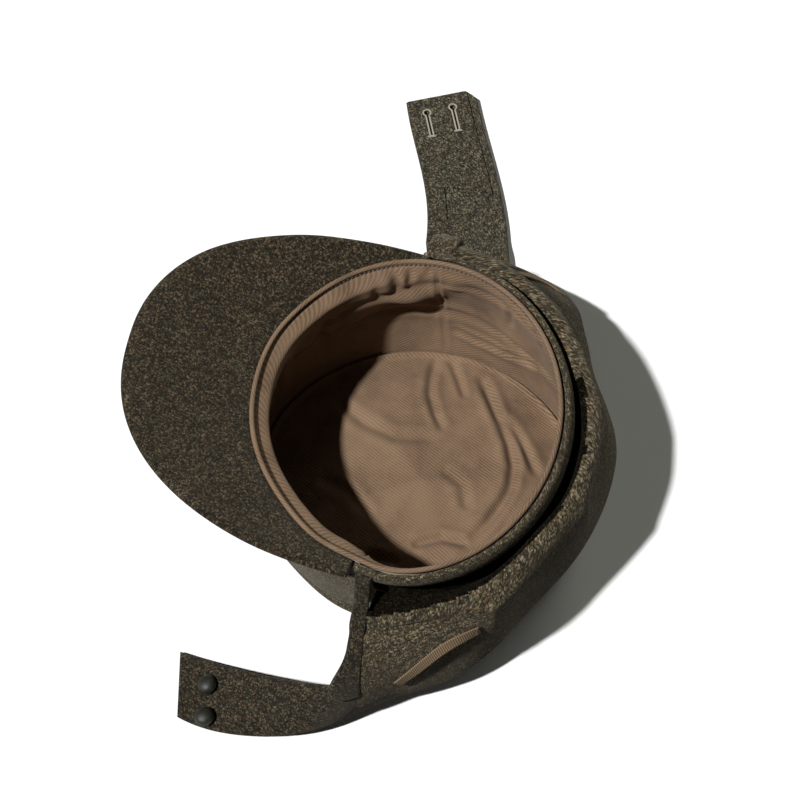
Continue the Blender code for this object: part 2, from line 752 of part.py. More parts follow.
def joints(group):
    """Empties on the joint axes: three flap panels and, beyond the ears, two straps."""
    hang("neck_fold", crease_hinge(-NECK_HALF_ANGLE, NECK_HALF_ANGLE),
         ("neck_flap_facing", "neck_flap_shell"), group)
    right = crease_hinge(-EAR_FRONT, -EAR_REAR)
    left = crease_hinge(EAR_REAR, EAR_FRONT)
    right_ear = hang("right_ear_fold", right, (
        "right_ear_flap_facing", "right_ear_flap_shell", "right_flap_hem", "right_tape_loop",
    ), group)
    left_ear = hang("left_ear_fold", left, (
        "left_ear_flap_facing", "left_ear_flap_shell", "left_flap_hem", "left_tape_loop",
    ), group)
    right_strap = hang("right_strap_swing", right_strap_hinge(), (
        "right_strap_facing", "right_strap_shell", "upper_button", "upper_button_thread",
        "lower_button", "lower_button_thread",
    ), group)
    left_strap = hang("left_strap_lift", left_strap_hinge(), (
        "left_strap_facing", "left_strap_shell", "buttonhole_patch",
        "rear_buttonhole_stitching", "front_buttonhole_stitching",
    ), group)
    for strap, ear, point in ((right_strap, right_ear, right), (left_strap, left_ear, left)):
        strap.parent = ear
        strap.matrix_parent_inverse = Matrix.Translation(-point)


def build():
    """Make every piece."""
    parts = collection_named(PART_COLLECTION)
    cutters = collection_named(CUTTER_COLLECTION)
    wool = material_named("wool", (0.075, 0.066, 0.048), 0.95)
    cotton = material_named("cotton", (0.36, 0.235, 0.14), 0.9)
    canvas = material_named("canvas", (0.30, 0.27, 0.20), 0.9)
    board = material_named("board", (0.20, 0.17, 0.13), 0.8)
    horn = material_named("button", (0.045, 0.042, 0.028), 0.4)
    thread = material_named("thread", (0.45, 0.42, 0.32), 0.8)
    crown_panels(wool, parts)
    lining_panels(cotton, canvas, parts)
    rim_band(wool, parts)
    peak(wool, board, parts)
    flap_folds(wool, parts)
    skirt_panel("right_ear_flap", -EAR_FRONT, -EAR_REAR, wool, parts, 10, 7)
    skirt_panel("right_flap_corner", -EAR_REAR, -NECK_HALF_ANGLE, wool, parts, 8, 5)
    skirt_panel("neck_flap", -NECK_HALF_ANGLE, NECK_HALF_ANGLE, wool, parts, 8, 5)
    skirt_panel("left_flap_corner", NECK_HALF_ANGLE, EAR_REAR, wool, parts, 8, 5)
    skirt_panel("left_ear_flap", EAR_REAR, EAR_FRONT, wool, parts, 10, 8)
    hem("right_flap_hem", -EAR_FRONT - HEM_ANGLE, -EAR_FRONT, RIGHT_STRAP_ROOT - 0.04, wool, parts)
    hem("left_flap_hem", EAR_FRONT, EAR_FRONT + HEM_ANGLE, 0.80, wool, parts)
    tape_loop("right_tape_loop", RIGHT_TAPE, cotton, parts)
    tape_loop("left_tape_loop", LEFT_TAPE, cotton, parts)
    made = straps(wool, parts)
    buttons(horn, thread, parts)
    buttonholes(made, wool, thread, parts, cutters)
    joints(parts)


for item in list(bpy.data.objects):
    bpy.data.objects.remove(item, do_unlink=True)
build()
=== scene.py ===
"""Looks of a wool field cap that lies open on its crown: cloth, sewing, floor, light and camera."""

import logging
import math
from dataclasses import dataclass, field, replace
from enum import Enum
from typing import Any, Callable, Iterable, Sequence

import bmesh
import bpy
import numpy as np
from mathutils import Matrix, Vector, noise


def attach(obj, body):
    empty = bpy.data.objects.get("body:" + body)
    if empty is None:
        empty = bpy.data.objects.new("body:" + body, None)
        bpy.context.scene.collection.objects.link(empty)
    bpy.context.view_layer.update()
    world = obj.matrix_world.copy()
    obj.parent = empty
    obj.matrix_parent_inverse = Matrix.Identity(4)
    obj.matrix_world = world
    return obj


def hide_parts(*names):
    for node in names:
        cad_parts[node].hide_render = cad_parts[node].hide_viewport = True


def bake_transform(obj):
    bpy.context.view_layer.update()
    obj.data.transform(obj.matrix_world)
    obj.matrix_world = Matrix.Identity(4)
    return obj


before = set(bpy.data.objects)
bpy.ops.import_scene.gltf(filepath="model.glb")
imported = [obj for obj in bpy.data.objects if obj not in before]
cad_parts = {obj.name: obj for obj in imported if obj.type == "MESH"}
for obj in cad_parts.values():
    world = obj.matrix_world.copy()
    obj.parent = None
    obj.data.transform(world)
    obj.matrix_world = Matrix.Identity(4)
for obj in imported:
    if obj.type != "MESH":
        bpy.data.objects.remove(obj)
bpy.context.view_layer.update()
LOG = logging.getLogger("cap")
CLOTH_MAP = "cloth"
MILLIMETRES = 1000.0
PLIES = ("facing", "shell")

Triple = tuple[float, float, float]
Colour = Triple
Spot = tuple[float, float]


class Body(Enum):
    """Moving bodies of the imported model."""

    CAP = "cap"
    NECK = "neck_flap"
    RIGHT_EAR = "right_ear_flap"
    LEFT_EAR = "left_ear_flap"
    RIGHT_STRAP = "right_strap"
    LEFT_STRAP = "left_strap"


class Slot(Enum):
    """Names of material slots."""

    WOOL = "wool"
    COTTON = "cotton"
    CANVAS = "canvas"
    BUTTON = "button"
    THREAD = "thread"


class Hold(Enum):
    """Ways in which a cloth piece is held."""

    HUNG = "hung"
    LAID = "laid"
    FOLDED = "folded"
    STRETCHED = "stretched"


# Numbers and curves


def mix(low: Any, high: Any, amount: Any) -> Any:
    """Blend two numbers or arrays."""
    return low + (high - low) * amount


def ease(amount: Any) -> Any:
    """Ease an amount between 0 and 1."""
    held = np.clip(amount, 0.0, 1.0)
    return held * held * (3.0 - 2.0 * held)


def unit(vectors: np.ndarray) -> np.ndarray:
    """Scale vectors to length one."""
    return vectors / np.maximum(np.linalg.norm(vectors, axis=-1, keepdims=True), 1e-12)


def wrapped(angle: Any) -> Any:
    """Bring angles in degrees between -180 and 180."""
    return (np.asarray(angle, float) + 180.0) % 360.0 - 180.0


def rising(value: Any, span: Spot) -> Any:
    """Ease from 0 at the first number of a span to 1 at its second."""
    return ease((value - span[0]) / (span[1] - span[0]))


def bell(distance: Any, width: float) -> Any:
    """A hump that is 1 at no distance and fades away over a width."""
    return np.exp(-((distance / width) ** 2))


def stations(count: int, edge: float = 0.0, low: bool = True, high: bool = True) -> np.ndarray:
    """Even stations from 0 to 1, closer together where an edge is rounded.

    Args:
        count: Number of even spans.
        edge: Width of the rounded edge as a share of the whole.
        low: Whether the low end is rounded.
        high: Whether the high end is rounded.

    Returns:
        The stations in order.
    """
    steps = np.array([0.0, 0.06, 0.22, 0.5, 0.78, 1.0]) * edge
    inner = np.linspace(steps[-1] * low, 1.0 - steps[-1] * high, count + 1)
    parts = [inner]
    if edge and low:
        parts.insert(0, steps[:-1])
    if edge and high:
        parts.append(1.0 - steps[-2::-1])
    return np.concatenate(parts)


def through(knots: np.ndarray, at: np.ndarray, spans: tuple[int, int]) -> np.ndarray:
    """Points on a smooth curve through knots.

    Args:
        knots: Points to pass through.
        at: Stations from 0 to 1 between the two knots of spans.
        spans: Indices of the first and last knot that the stations cover.

    Returns:
        One point for each station.
    """
    steps = np.maximum(np.linalg.norm(np.diff(knots, axis=0), axis=1), 1e-9)
    reach = np.concatenate([[0.0], np.cumsum(steps)])
    slopes = np.diff(knots, axis=0) / steps[:, None]
    inner = (slopes[:-1] * steps[1:, None] + slopes[1:] * steps[:-1, None])
    inner = inner / (steps[:-1] + steps[1:])[:, None]
    tangents = np.concatenate([slopes[:1], inner, slopes[-1:]])
    where = mix(reach[spans[0]], reach[spans[1]], at)
    index = np.clip(np.searchsorted(reach, where, side="right") - 1, 0, len(steps) - 1)
    size = steps[index]
    part = ((where - reach[index]) / size)[:, None]
    square, cube = part * part, part * part * part
    return (
        knots[index] * (2.0 * cube - 3.0 * square + 1.0)
        + tangents[index] * size[:, None] * (cube - 2.0 * square + part)
        + knots[index + 1] * (3.0 * square - 2.0 * cube)
        + tangents[index + 1] * size[:, None] * (cube - square)
    )


def line_distance(points: np.ndarray, line: Sequence[Spot]) -> tuple[np.ndarray, np.ndarray]:
    """Distance of flat points from a drawn line.

    Args:
        points: Points with two numbers each.
        line: Corners of the line.

    Returns:
        The distance, and the place along the line from 0 to 1.
    """
    best = np.full(points.shape[:-1], 1e9)
    place = np.zeros(points.shape[:-1])
    corners = np.array(line, dtype=float)
    lengths = np.linalg.norm(np.diff(corners, axis=0), axis=1)
    done, total = 0.0, lengths.sum()
    for first, second, length in zip(corners[:-1], corners[1:], lengths):
        run = (second - first) / length
        part = np.clip((points - first) @ run, 0.0, length)
        gap = np.linalg.norm(points - first - part[..., None] * run, axis=-1)
        nearer = gap < best
        best = np.where(nearer, gap, best)
        place = np.where(nearer, (done + part) / total, place)
        done += length
    return best, place


def waves(points: np.ndarray, scale: float, seed: float) -> np.ndarray:
    """Smooth uneven waves over points, from about -1 to 1."""
    start = Vector((seed, seed, seed))
    values = [noise.noise(Vector(point) * scale + start) for point in points.reshape(-1, 3)]
    return np.array(values).reshape(points.shape[:-1])


@dataclass(frozen=True)
class Ripple:
    """Soft uneven waves: how many in a metre, where they start and how high they rise."""

    scale: float
    seed: float
    height: float = 1.0

    def rise(self, points: np.ndarray) -> np.ndarray:
        """Height of the waves at points."""
        return waves(points, self.scale, self.seed) * self.height


def rippled(points: np.ndarray, ripples: Iterable[Ripple]) -> np.ndarray:
    """Height of several sets of waves together."""
    return sum(ripple.rise(points) for ripple in ripples)


# Meshes


def grid_normals(points: np.ndarray, ring: bool = False) -> np.ndarray:
    """Unit normals of a grid of points, from its two directions."""
    if ring:
        run = np.roll(points, -1, axis=0) - np.roll(points, 1, axis=0)
    else:
        run = np.gradient(points, axis=0)
    return unit(np.cross(run, np.gradient(points, axis=1)))


def lengths_along(points: np.ndarray, axis: int) -> np.ndarray:
    """Running length of a grid's lines in one direction."""
    steps = np.linalg.norm(np.diff(points, axis=axis), axis=-1)
    lead = np.zeros((1, points.shape[1]) if axis == 0 else (points.shape[0], 1))
    return np.concatenate([lead, np.cumsum(steps, axis=axis)], axis=axis)


def running(path: np.ndarray) -> np.ndarray:
    """Running length along a path."""
    steps = np.linalg.norm(np.diff(path, axis=0), axis=1)
    return np.concatenate([[0.0], np.cumsum(steps)])


def laid(
    place: Callable[[float, float], np.ndarray], alongs: np.ndarray, acrosses: np.ndarray
) -> np.ndarray:
    """Grid of points from a place that depends on two shares."""
    return np.array([[place(along, across) for across in acrosses] for along in alongs])


def linked(name: str, mesh: bpy.types.Mesh) -> bpy.types.Object:
    """Put a mesh in the scene as an object."""
    made = bpy.data.objects.new(name, mesh)
    bpy.context.scene.collection.objects.link(made)
    return made


def from_faces(
    name: str,
    vertices: np.ndarray,
    faces: Sequence[Sequence[int]],
    maps: Sequence[Spot] | None = None,
    flat: Iterable[int] = (),
    weld: float = 1e-6,
) -> bpy.types.Object:
    """Make a smooth object from vertices and faces.

    Args:
        name: Name of the object.
        vertices: Points of the mesh.
        faces: Corner indices of each face.
        maps: Cloth coordinates in metres, one for each face corner.
        flat: Faces that close a cut edge, kept flat and sharp.
        weld: Distance at which points are joined.

    Returns:
        The new object.
    """
    mesh = bpy.data.meshes.new(name)
    mesh.from_pydata(vertices.tolist(), [], [list(face) for face in faces])
    if maps is not None:
        layer = mesh.uv_layers.new(name=CLOTH_MAP)
        layer.data.foreach_set("uv", np.asarray(maps, dtype=np.float32).ravel())
    shape = bmesh.new()
    shape.from_mesh(mesh)
    shape.faces.ensure_lookup_table()
    for face in shape.faces:
        face.smooth = True
    for index in flat:
        shape.faces[index].smooth = False
        for edge in shape.faces[index].edges:
            edge.smooth = False
    bmesh.ops.remove_doubles(shape, verts=shape.verts, dist=weld)
    bmesh.ops.dissolve_degenerate(shape, edges=shape.edges, dist=1e-7)
    shape.to_mesh(mesh)
    shape.free()
    return linked(name, mesh)


def slab(
    name: str,
    points: np.ndarray,
    half: Any,
    rounded: str = "abcd",
    ring: bool = False,
    maps: np.ndarray | None = None,
    normals: np.ndarray | None = None,
) -> bpy.types.Object:
    """A closed cloth piece with thickness and rounded edges.

    Args:
        name: Name of the object.
        points: Grid of points on the cloth's middle.
        half: Half its thickness, one number or a grid.
        rounded: Rounded edges: a and b end the first direction, c and d the second.
        ring: Whether the first direction closes on itself.
        maps: Cloth coordinates for each point, or None to measure them.
        normals: Normals for each point, or None to measure them.

    Returns:
        The new object.
    """
    count, rows = points.shape[:2]
    normal = grid_normals(points, ring) if normals is None else normals
    run, fall = lengths_along(points, 0), lengths_along(points, 1)
    full = np.ones((count, rows)) * half
    depth = full.copy()
    gaps = {"a": run, "b": run[-1:] - run, "c": fall, "d": fall[:, -1:] - fall}
    for edge in rounded:
        near = np.clip(gaps[edge] / full, 0.0, 1.0)
        depth = depth * np.sqrt(np.clip(1.0 - (1.0 - near) ** 2, 0.0, 1.0))
    if maps is None:
        maps = np.stack([run, fall], axis=-1)
    top = points + normal * depth[..., None]
    low = points - normal * depth[..., None]
    vertices = np.concatenate([top.reshape(-1, 3), low.reshape(-1, 3)])
    under = count * rows
    if ring:
        last = np.linalg.norm(points[0] - points[-1], axis=-1)
        closing = maps[-1] + np.stack([last, np.zeros(rows)], axis=-1)
        maps = np.concatenate([maps, closing[None]])
    faces: list[tuple[int, ...]] = []
    spots: list[Spot] = []

    def add(corners: Sequence[tuple[int, int, int]]) -> None:
        """Add a face from corners given by column, row and side."""
        faces.append(tuple((i % count) * rows + j + side * under for i, j, side in corners))
        spots.extend(tuple(maps[i, j]) for i, j, _ in corners)

    columns = count if ring else count - 1
    for i in range(columns):
        for j in range(rows - 1):
            quad = [(i, j), (i + 1, j), (i + 1, j + 1), (i, j + 1)]
            add([(a, b, 0) for a, b in quad])
            add([(a, b, 1) for a, b in reversed(quad)])
    cut: list[int] = []
    for i in range(columns):
        for j, edge in ((0, "c"), (rows - 1, "d")):
            corners = [(i, j, 1), (i + 1, j, 1), (i + 1, j, 0), (i, j, 0)]
            if edge not in rounded:
                cut.append(len(faces))
            add(corners if edge == "c" else corners[::-1])
    if not ring:
        for j in range(rows - 1):
            for i, edge in ((0, "a"), (count - 1, "b")):
                corners = [(i, j + 1, 1), (i, j, 1), (i, j, 0), (i, j + 1, 0)]
                if edge not in rounded:
                    cut.append(len(faces))
                add(corners if edge == "a" else corners[::-1])
    return from_faces(name, vertices, faces, spots, cut)


def skin(
    name: str, points: np.ndarray, maps: np.ndarray, ring: bool = False
) -> bpy.types.Object:
    """A single layer of cloth on a grid of points, with its cloth coordinates."""
    rows = points.shape[1]
    if ring:
        points = np.concatenate([points, points[:1]])
    faces, spots = [], []
    for i in range(points.shape[0] - 1):
        for j in range(rows - 1):
            quad = [(i, j), (i + 1, j), (i + 1, j + 1), (i, j + 1)]
            faces.append([a * rows + b for a, b in quad])
            spots.extend(tuple(maps[a, b]) for a, b in quad)
    return from_faces(name, points.reshape(-1, 3), faces, spots)


def loft(name: str, rings: np.ndarray) -> bpy.types.Object:
    """A closed body through rings of points, with rounded shading and flat ends."""
    count, sides = rings.shape[:2]
    run = lengths_along(rings, 0)
    girth = lengths_along(np.concatenate([rings, rings[:, :1]], axis=1), 1)
    faces, spots = [], []
    for i in range(count - 1):
        for j in range(sides):
            quad = [(i, j), (i, j + 1), (i + 1, j + 1), (i + 1, j)]
            faces.append([a * sides + b % sides for a, b in quad])
            spots.extend((run[a, b % sides], girth[a, b]) for a, b in quad)
    ends = [list(range(sides))[::-1], [(count - 1) * sides + j for j in range(sides)]]
    for end in ends:
        faces.append(end)
        spots.extend((run[c // sides, c % sides], girth[c // sides, c % sides]) for c in end)
    return from_faces(name, rings.reshape(-1, 3), faces, spots, (len(faces) - 2, len(faces) - 1))


def beads(
    name: str, centres: np.ndarray, runs: np.ndarray, ups: np.ndarray, size: Triple
) -> bpy.types.Object:
    """Many small rounded stitches as one object.

    Args:
        name: Name of the object.
        centres: Middle of each stitch.
        runs: Direction of each stitch.
        ups: Direction away from the cloth at each stitch.
        size: Half length, half width and half height.

    Returns:
        The new object.
    """
    rings, sides = 5, 6
    local = [(-1.0, 0.0, 0.0)]
    for step in range(1, rings):
        turn = math.pi * step / rings
        for side in range(sides):
            roll = 2.0 * math.pi * side / sides
            wide = math.sin(turn)
            local.append((-math.cos(turn), wide * math.cos(roll), wide * math.sin(roll)))
    local.append((1.0, 0.0, 0.0))
    pattern = []
    for side in range(sides):
        after = (side + 1) % sides
        pattern.append((0, 1 + after, 1 + side))
        for step in range(rings - 2):
            first, second = 1 + step * sides, 1 + (step + 1) * sides
            pattern.append((first + side, first + after, second + after, second + side))
        end = 1 + (rings - 2) * sides
        pattern.append((end + side, end + after, len(local) - 1))
    shape = np.array(local) * np.array(size)
    run = unit(runs)
    side = unit(np.cross(ups, run))
    up = np.cross(run, side)
    vertices = (
        centres[:, None]
        + shape[None, :, :1] * run[:, None]
        + shape[None, :, 1:2] * side[:, None]
        + shape[None, :, 2:] * up[:, None]
    )
    faces = [
        tuple(corner + index * len(local) for corner in face)
        for index in range(len(centres)) for face in pattern
    ]
    return from_faces(name, vertices.reshape(-1, 3), faces, weld=1e-9)


def stitched(
    name: str, path: np.ndarray, ups: np.ndarray, length: float, gap: float, width: float
) -> bpy.types.Object:
    """A row of running stitches along a path on the cloth.

    Args:
        name: Name of the object.
        path: Close points along the seam.
        ups: Direction away from the cloth at each point.
        length: Length of a stitch.
        gap: Space between stitches.
        width: Half the thread's width.

    Returns:
        The row as one object.
    """
    reach = running(path)
    count = max(1, int(reach[-1] / (length + gap)))
    at = (np.arange(count) + 0.5) * reach[-1] / count

    def sample(values: np.ndarray, where: np.ndarray) -> np.ndarray:
        """Values of a path at running lengths."""
        return np.stack([np.interp(where, reach, values[:, axis]) for axis in range(3)], axis=-1)

    runs = sample(path, at + length * 0.4) - sample(path, at - length * 0.4)
    return beads(name, sample(path, at), runs, sample(ups, at), (length / 2.0, width, width * 0.8))


def face_outwards(made: bpy.types.Object) -> bpy.types.Object:
    """Turn every face of a closed object outwards."""
    shape = bmesh.new()
    shape.from_mesh(made.data)
    bmesh.ops.recalc_face_normals(shape, faces=shape.faces)
    shape.to_mesh(made.data)
    shape.free()
    return made


def lathe(
    name: str, profile: Sequence[Spot], foot: np.ndarray, axis: np.ndarray, steps: int
) -> bpy.types.Object:
    """A turned piece from radius and height pairs, standing on a foot along an axis."""
    up = unit(axis)
    side = unit(np.cross(up, np.array([0.3, 1.0, 0.2])))
    ahead = np.cross(up, side)
    vertices, faces = [], []
    for radius, height in profile:
        for step in range(steps):
            turn = 2.0 * math.pi * step / steps
            spread = side * math.cos(turn) + ahead * math.sin(turn)
            vertices.append(foot + up * height + spread * radius)
    for ring in range(len(profile) - 1):
        for step in range(steps):
            after = (step + 1) % steps
            a, b = ring * steps, (ring + 1) * steps
            faces.append((a + step, a + after, b + after, b + step))
    return face_outwards(from_faces(name, np.array(vertices), faces))


def cut_out(target: bpy.types.Object, cutter: bpy.types.Object) -> None:
    """Cut one object out of another and keep the result as its mesh."""
    change = target.modifiers.new("Cut", "BOOLEAN")
    change.operation = "DIFFERENCE"
    change.solver = "EXACT"
    change.object = cutter
    graph = bpy.context.evaluated_depsgraph_get()
    mesh = bpy.data.meshes.new_from_object(target.evaluated_get(graph))
    target.modifiers.clear()
    target.data = mesh


# Shaders


class Value:
    """A shader socket that works in Python expressions."""

    def __init__(self, graph: "Graph", socket: bpy.types.NodeSocket) -> None:
        """Keep the socket and its graph."""
        self.graph = graph
        self.socket = socket

    def __add__(self, other: "Value | float") -> "Value":
        """Add."""
        return self.graph.maths("ADD", self, other)

    __radd__ = __add__

    def __sub__(self, other: "Value | float") -> "Value":
        """Take away."""
        return self.graph.maths("SUBTRACT", self, other)

    def __mul__(self, other: "Value | float") -> "Value":
        """Multiply."""
        return self.graph.maths("MULTIPLY", self, other)


class Graph:
    """The nodes of one material."""

    def __init__(self, name: str) -> None:
        """Start a material with nothing but its output."""
        self.material = bpy.data.materials.new(name)
        self.material.use_nodes = True
        self.tree = self.material.node_tree
        self.tree.nodes.clear()

    def add(
        self,
        kind: str,
        settings: dict[str, Any] | None = None,
        sockets: dict[str | int, Any] | None = None,
        output: str | int = 0,
    ) -> Value:
        """Add a node.

        Args:
            kind: Type of the node.
            settings: Attributes that are set first; stops fills a colour ramp.
            sockets: Values or links by socket name or number.
            output: Output that is wanted.

        Returns:
            That output, ready for expressions.
        """
        node = self.tree.nodes.new(kind)
        for key, setting in (settings or {}).items():
            if key == "stops":
                self._ramp(node.color_ramp, setting)
            else:
                setattr(node, key, setting)
        for key, value in (sockets or {}).items():
            if isinstance(value, Value):
                self.tree.links.new(value.socket, node.inputs[key])
            else:
                node.inputs[key].default_value = value
        return Value(self, node.outputs[output]) if node.outputs else Value(self, None)

    @staticmethod
    def _ramp(ramp: bpy.types.ColorRamp, stops: Sequence[tuple[float, Colour]]) -> None:
        """Fill a colour ramp with its stops."""
        while len(ramp.elements) > 1:
            ramp.elements.remove(ramp.elements[-1])
        for index, (place, colour) in enumerate(stops):
            element = ramp.elements[0] if index == 0 else ramp.elements.new(place)
            element.position = place
            element.color = (*colour, 1.0)

    def maths(self, operation: str, *terms: "Value | float", clamp: bool = False) -> Value:
        """A Math node on values and numbers."""
        settings = {"operation": operation, "use_clamp": clamp}
        return self.add("ShaderNodeMath", settings, dict(enumerate(terms)))

    def cloth(self) -> Value:
        """Cloth coordinates in metres."""
        return self.add("ShaderNodeUVMap", {"uv_map": CLOTH_MAP})

    def place(self) -> Value:
        """Coordinates of the object in metres."""
        return self.add("ShaderNodeTexCoord", output="Object")

    def stretch(self, vector: Value, factors: Triple) -> Value:
        """Scale a vector by three factors."""
        return self.add("ShaderNodeVectorMath", {"operation": "MULTIPLY"}, {0: vector, 1: factors})

    def along(self, vector: Value, direction: Triple) -> Value:
        """How far a vector reaches in a direction."""
        settings = {"operation": "DOT_PRODUCT"}
        return self.add("ShaderNodeVectorMath", settings, {0: vector, 1: direction}, "Value")

    def speckle(
        self, vector: Value, scale: float, detail: float = 2.0, rough: float = 0.5
    ) -> Value:
        """A noise value at a scale given in features a metre."""
        sockets = {"Vector": vector, "Scale": scale, "Detail": detail, "Roughness": rough}
        return self.add("ShaderNodeTexNoise", None, sockets)

    def cells(self, vector: Value, scale: float) -> Value:
        """A random colour for each small patch, at a scale given in patches a metre."""
        return self.add("ShaderNodeTexVoronoi", {"voronoi_dimensions": "2D"},
                        {"Vector": vector, "Scale": scale}, "Color")

    def sine(self, value: Value) -> Value:
        """Sine of a value, moved to 0 to 1."""
        return self.maths("SINE", value) * 0.5 + 0.5

    def ramp(self, value: Value, stops: Sequence[tuple[float, Colour]]) -> Value:
        """A colour picked by a value."""
        return self.add("ShaderNodeValToRGB", {"stops": stops}, {"Fac": value})

    def blend(self, amount: "Value | float", first: Any, second: Any, kind: str = "MIX") -> Value:
        """Mix two colours."""
        def colour(item: Any) -> Any:
            """A socket value for a colour."""
            return item if isinstance(item, Value) else (*item, 1.0)

        settings = {"data_type": "RGBA", "blend_type": kind}
        sockets = {0: amount, 6: colour(first), 7: colour(second)}
        return self.add("ShaderNodeMix", settings, sockets, 2)

    def bump(self, height: Value, depth: float, strength: float) -> Value:
        """A normal bent by a height."""
        sockets = {"Height": height, "Distance": depth, "Strength": strength}
        return self.add("ShaderNodeBump", None, sockets)

    def finish(self, sockets: dict[str, Any]) -> bpy.types.Material:
        """Close the material with a Principled shader.

        Args:
            sockets: Values or links of the shader's sockets.

        Returns:
            The finished material.
        """
        shader = self.add("ShaderNodeBsdfPrincipled", None, sockets)
        self.add("ShaderNodeOutputMaterial", None, {"Surface": shader})
        return self.material


@dataclass(frozen=True)
class MelangeWool:
    """Felted wool spun from dark, olive and pale fibres."""

    name: str = "melange_wool"
    warmth: float = 1.0
    light: float = 1.0
    sheen: float = 0.10
    fleck: float = 1750.0

    def tone(self, colour: Colour) -> Colour:
        """A fibre colour in this cloth's own shade."""
        return (
            colour[0] * self.light * self.warmth,
            colour[1] * self.light,
            colour[2] * self.light / self.warmth,
        )

    def make(self) -> bpy.types.Material:
        """Make the material."""
        graph = Graph(self.name)
        cloth = graph.cloth()
        weft = graph.cells(graph.stretch(cloth, (1.0, 0.62, 1.0)), self.fleck)
        warp = graph.cells(graph.stretch(cloth, (0.62, 1.0, 1.0)), self.fleck * 0.80)
        fibre = graph.along(weft, (0.55, 0.0, 0.0)) + graph.along(warp, (0.45, 0.0, 0.0))
        fuzz = graph.speckle(cloth, 1100.0, 2.0, 0.6)
        patch = graph.speckle(cloth, 46.0, 3.0, 0.55)
        cloud = graph.speckle(cloth, 240.0, 2.0, 0.5)
        shade = (
            (fibre - 0.5) * 1.30
            + (patch - 0.5) * 0.24
            + (cloud - 0.5) * 0.20
            + (fuzz - 0.5) * 0.40
            + 0.48
        )
        stops = (
            (0.05, self.tone((0.0100, 0.0076, 0.0045))),
            (0.36, self.tone((0.0300, 0.0232, 0.0142))),
            (0.58, self.tone((0.0580, 0.0452, 0.0284))),
            (0.78, self.tone((0.1150, 0.0905, 0.0580))),
            (1.00, self.tone((0.2300, 0.1860, 0.1260))),
        )
        colour = graph.ramp(shade, stops)
        hue = graph.along(weft, (0.0, 0.6, 0.0)) + graph.along(warp, (0.0, 0.4, 0.0))
        tint = graph.blend(hue, (1.26, 0.96, 0.74), (0.74, 1.05, 1.12))
        colour = graph.blend(1.0, colour, tint, "MULTIPLY")
        height = fuzz * 0.9 + cloud * 0.8
        return graph.finish({
            "Base Color": colour,
            "Roughness": 0.84 + fibre * 0.14,
            "Specular IOR Level": self.sheen * 1.8,
            "Sheen Weight": self.sheen,
            "Sheen Roughness": 0.55,
            "Sheen Tint": (0.80, 0.74, 0.62, 1.0),
            "Normal": graph.bump(height, 0.0009, 0.55),
        })


@dataclass(frozen=True)
class TwillCotton:
    """Tan cotton with fine slanting ribs, worn and a little stained."""

    name: str = "twill_cotton"
    rib: float = 0.0016
    slant: Triple = (0.446, 0.897, 0.0)
    dark: Colour = (0.070, 0.044, 0.026)
    pale: Colour = (0.250, 0.162, 0.099)
    stain: Colour = (0.096, 0.062, 0.037)

    def make(self) -> bpy.types.Material:
        """Make the material."""
        graph = Graph(self.name)
        cloth = graph.cloth()
        wobble = graph.speckle(cloth, 130.0, 2.0, 0.5)
        slub = graph.speckle(cloth, 900.0, 2.0, 0.6)
        lean = graph.along(cloth, self.slant) + (wobble - 0.5) * 0.0013
        ribs = graph.sine(lean * (2.0 * math.pi / self.rib))
        cross = (-self.slant[1], self.slant[0], 0.0)
        picks = graph.sine(graph.along(cloth, cross) * (2.0 * math.pi / (self.rib * 0.62)))
        patchy = graph.speckle(cloth, 60.0, 3.0, 0.6)
        weave = ribs * (patchy * 1.3 - 0.05) * 0.8 + picks * 0.10 + slub * 0.45
        wear = graph.speckle(cloth, 22.0, 5.0, 0.65)
        tone = weave * 0.80 + (wear - 0.5) * 1.35 + 0.085
        between = mixed(self.dark, self.pale, 0.62)
        colour = graph.ramp(tone, ((0.05, self.dark), (0.48, between), (0.95, self.pale)))
        spots = graph.maths("MULTIPLY", wear - 0.56, 3.0, clamp=True)
        colour = graph.blend(spots * 0.5, colour, self.stain)
        return graph.finish({
            "Base Color": colour,
            "Roughness": 0.80 + slub * 0.15,
            "Specular IOR Level": 0.22,
            "Sheen Weight": 0.06,
            "Normal": graph.bump(weave, 0.00040, 0.4),
        })


@dataclass(frozen=True)
class RibbedTape:
    """Narrow woven tape with ribs across it and firm edges."""

    name: str = "ribbed_tape"
    rib: float = 0.0013
    pitch: float = 0.0010
    dark: Colour = (0.085, 0.056, 0.032)
    pale: Colour = (0.250, 0.175, 0.105)

    def make(self) -> bpy.types.Material:
        """Make the material."""
        graph = Graph(self.name)
        cloth = graph.cloth()
        slub = graph.speckle(cloth, 1100.0, 2.0, 0.6)
        lean = graph.along(cloth, (1.0, 0.35, 0.0))
        ribs = graph.sine(lean * (2.0 * math.pi / self.rib))
        ends = graph.sine(graph.along(cloth, (0.0, 1.0, 0.0)) * (2.0 * math.pi / self.pitch))
        weave = ribs * 0.7 + ends * 0.2 + slub * 0.3
        colour = graph.ramp(weave, ((0.15, self.dark), (0.9, self.pale)))
        return graph.finish({
            "Base Color": colour,
            "Roughness": 0.78 + slub * 0.16,
            "Specular IOR Level": 0.25,
            "Normal": graph.bump(weave, 0.0005, 0.7),
        })


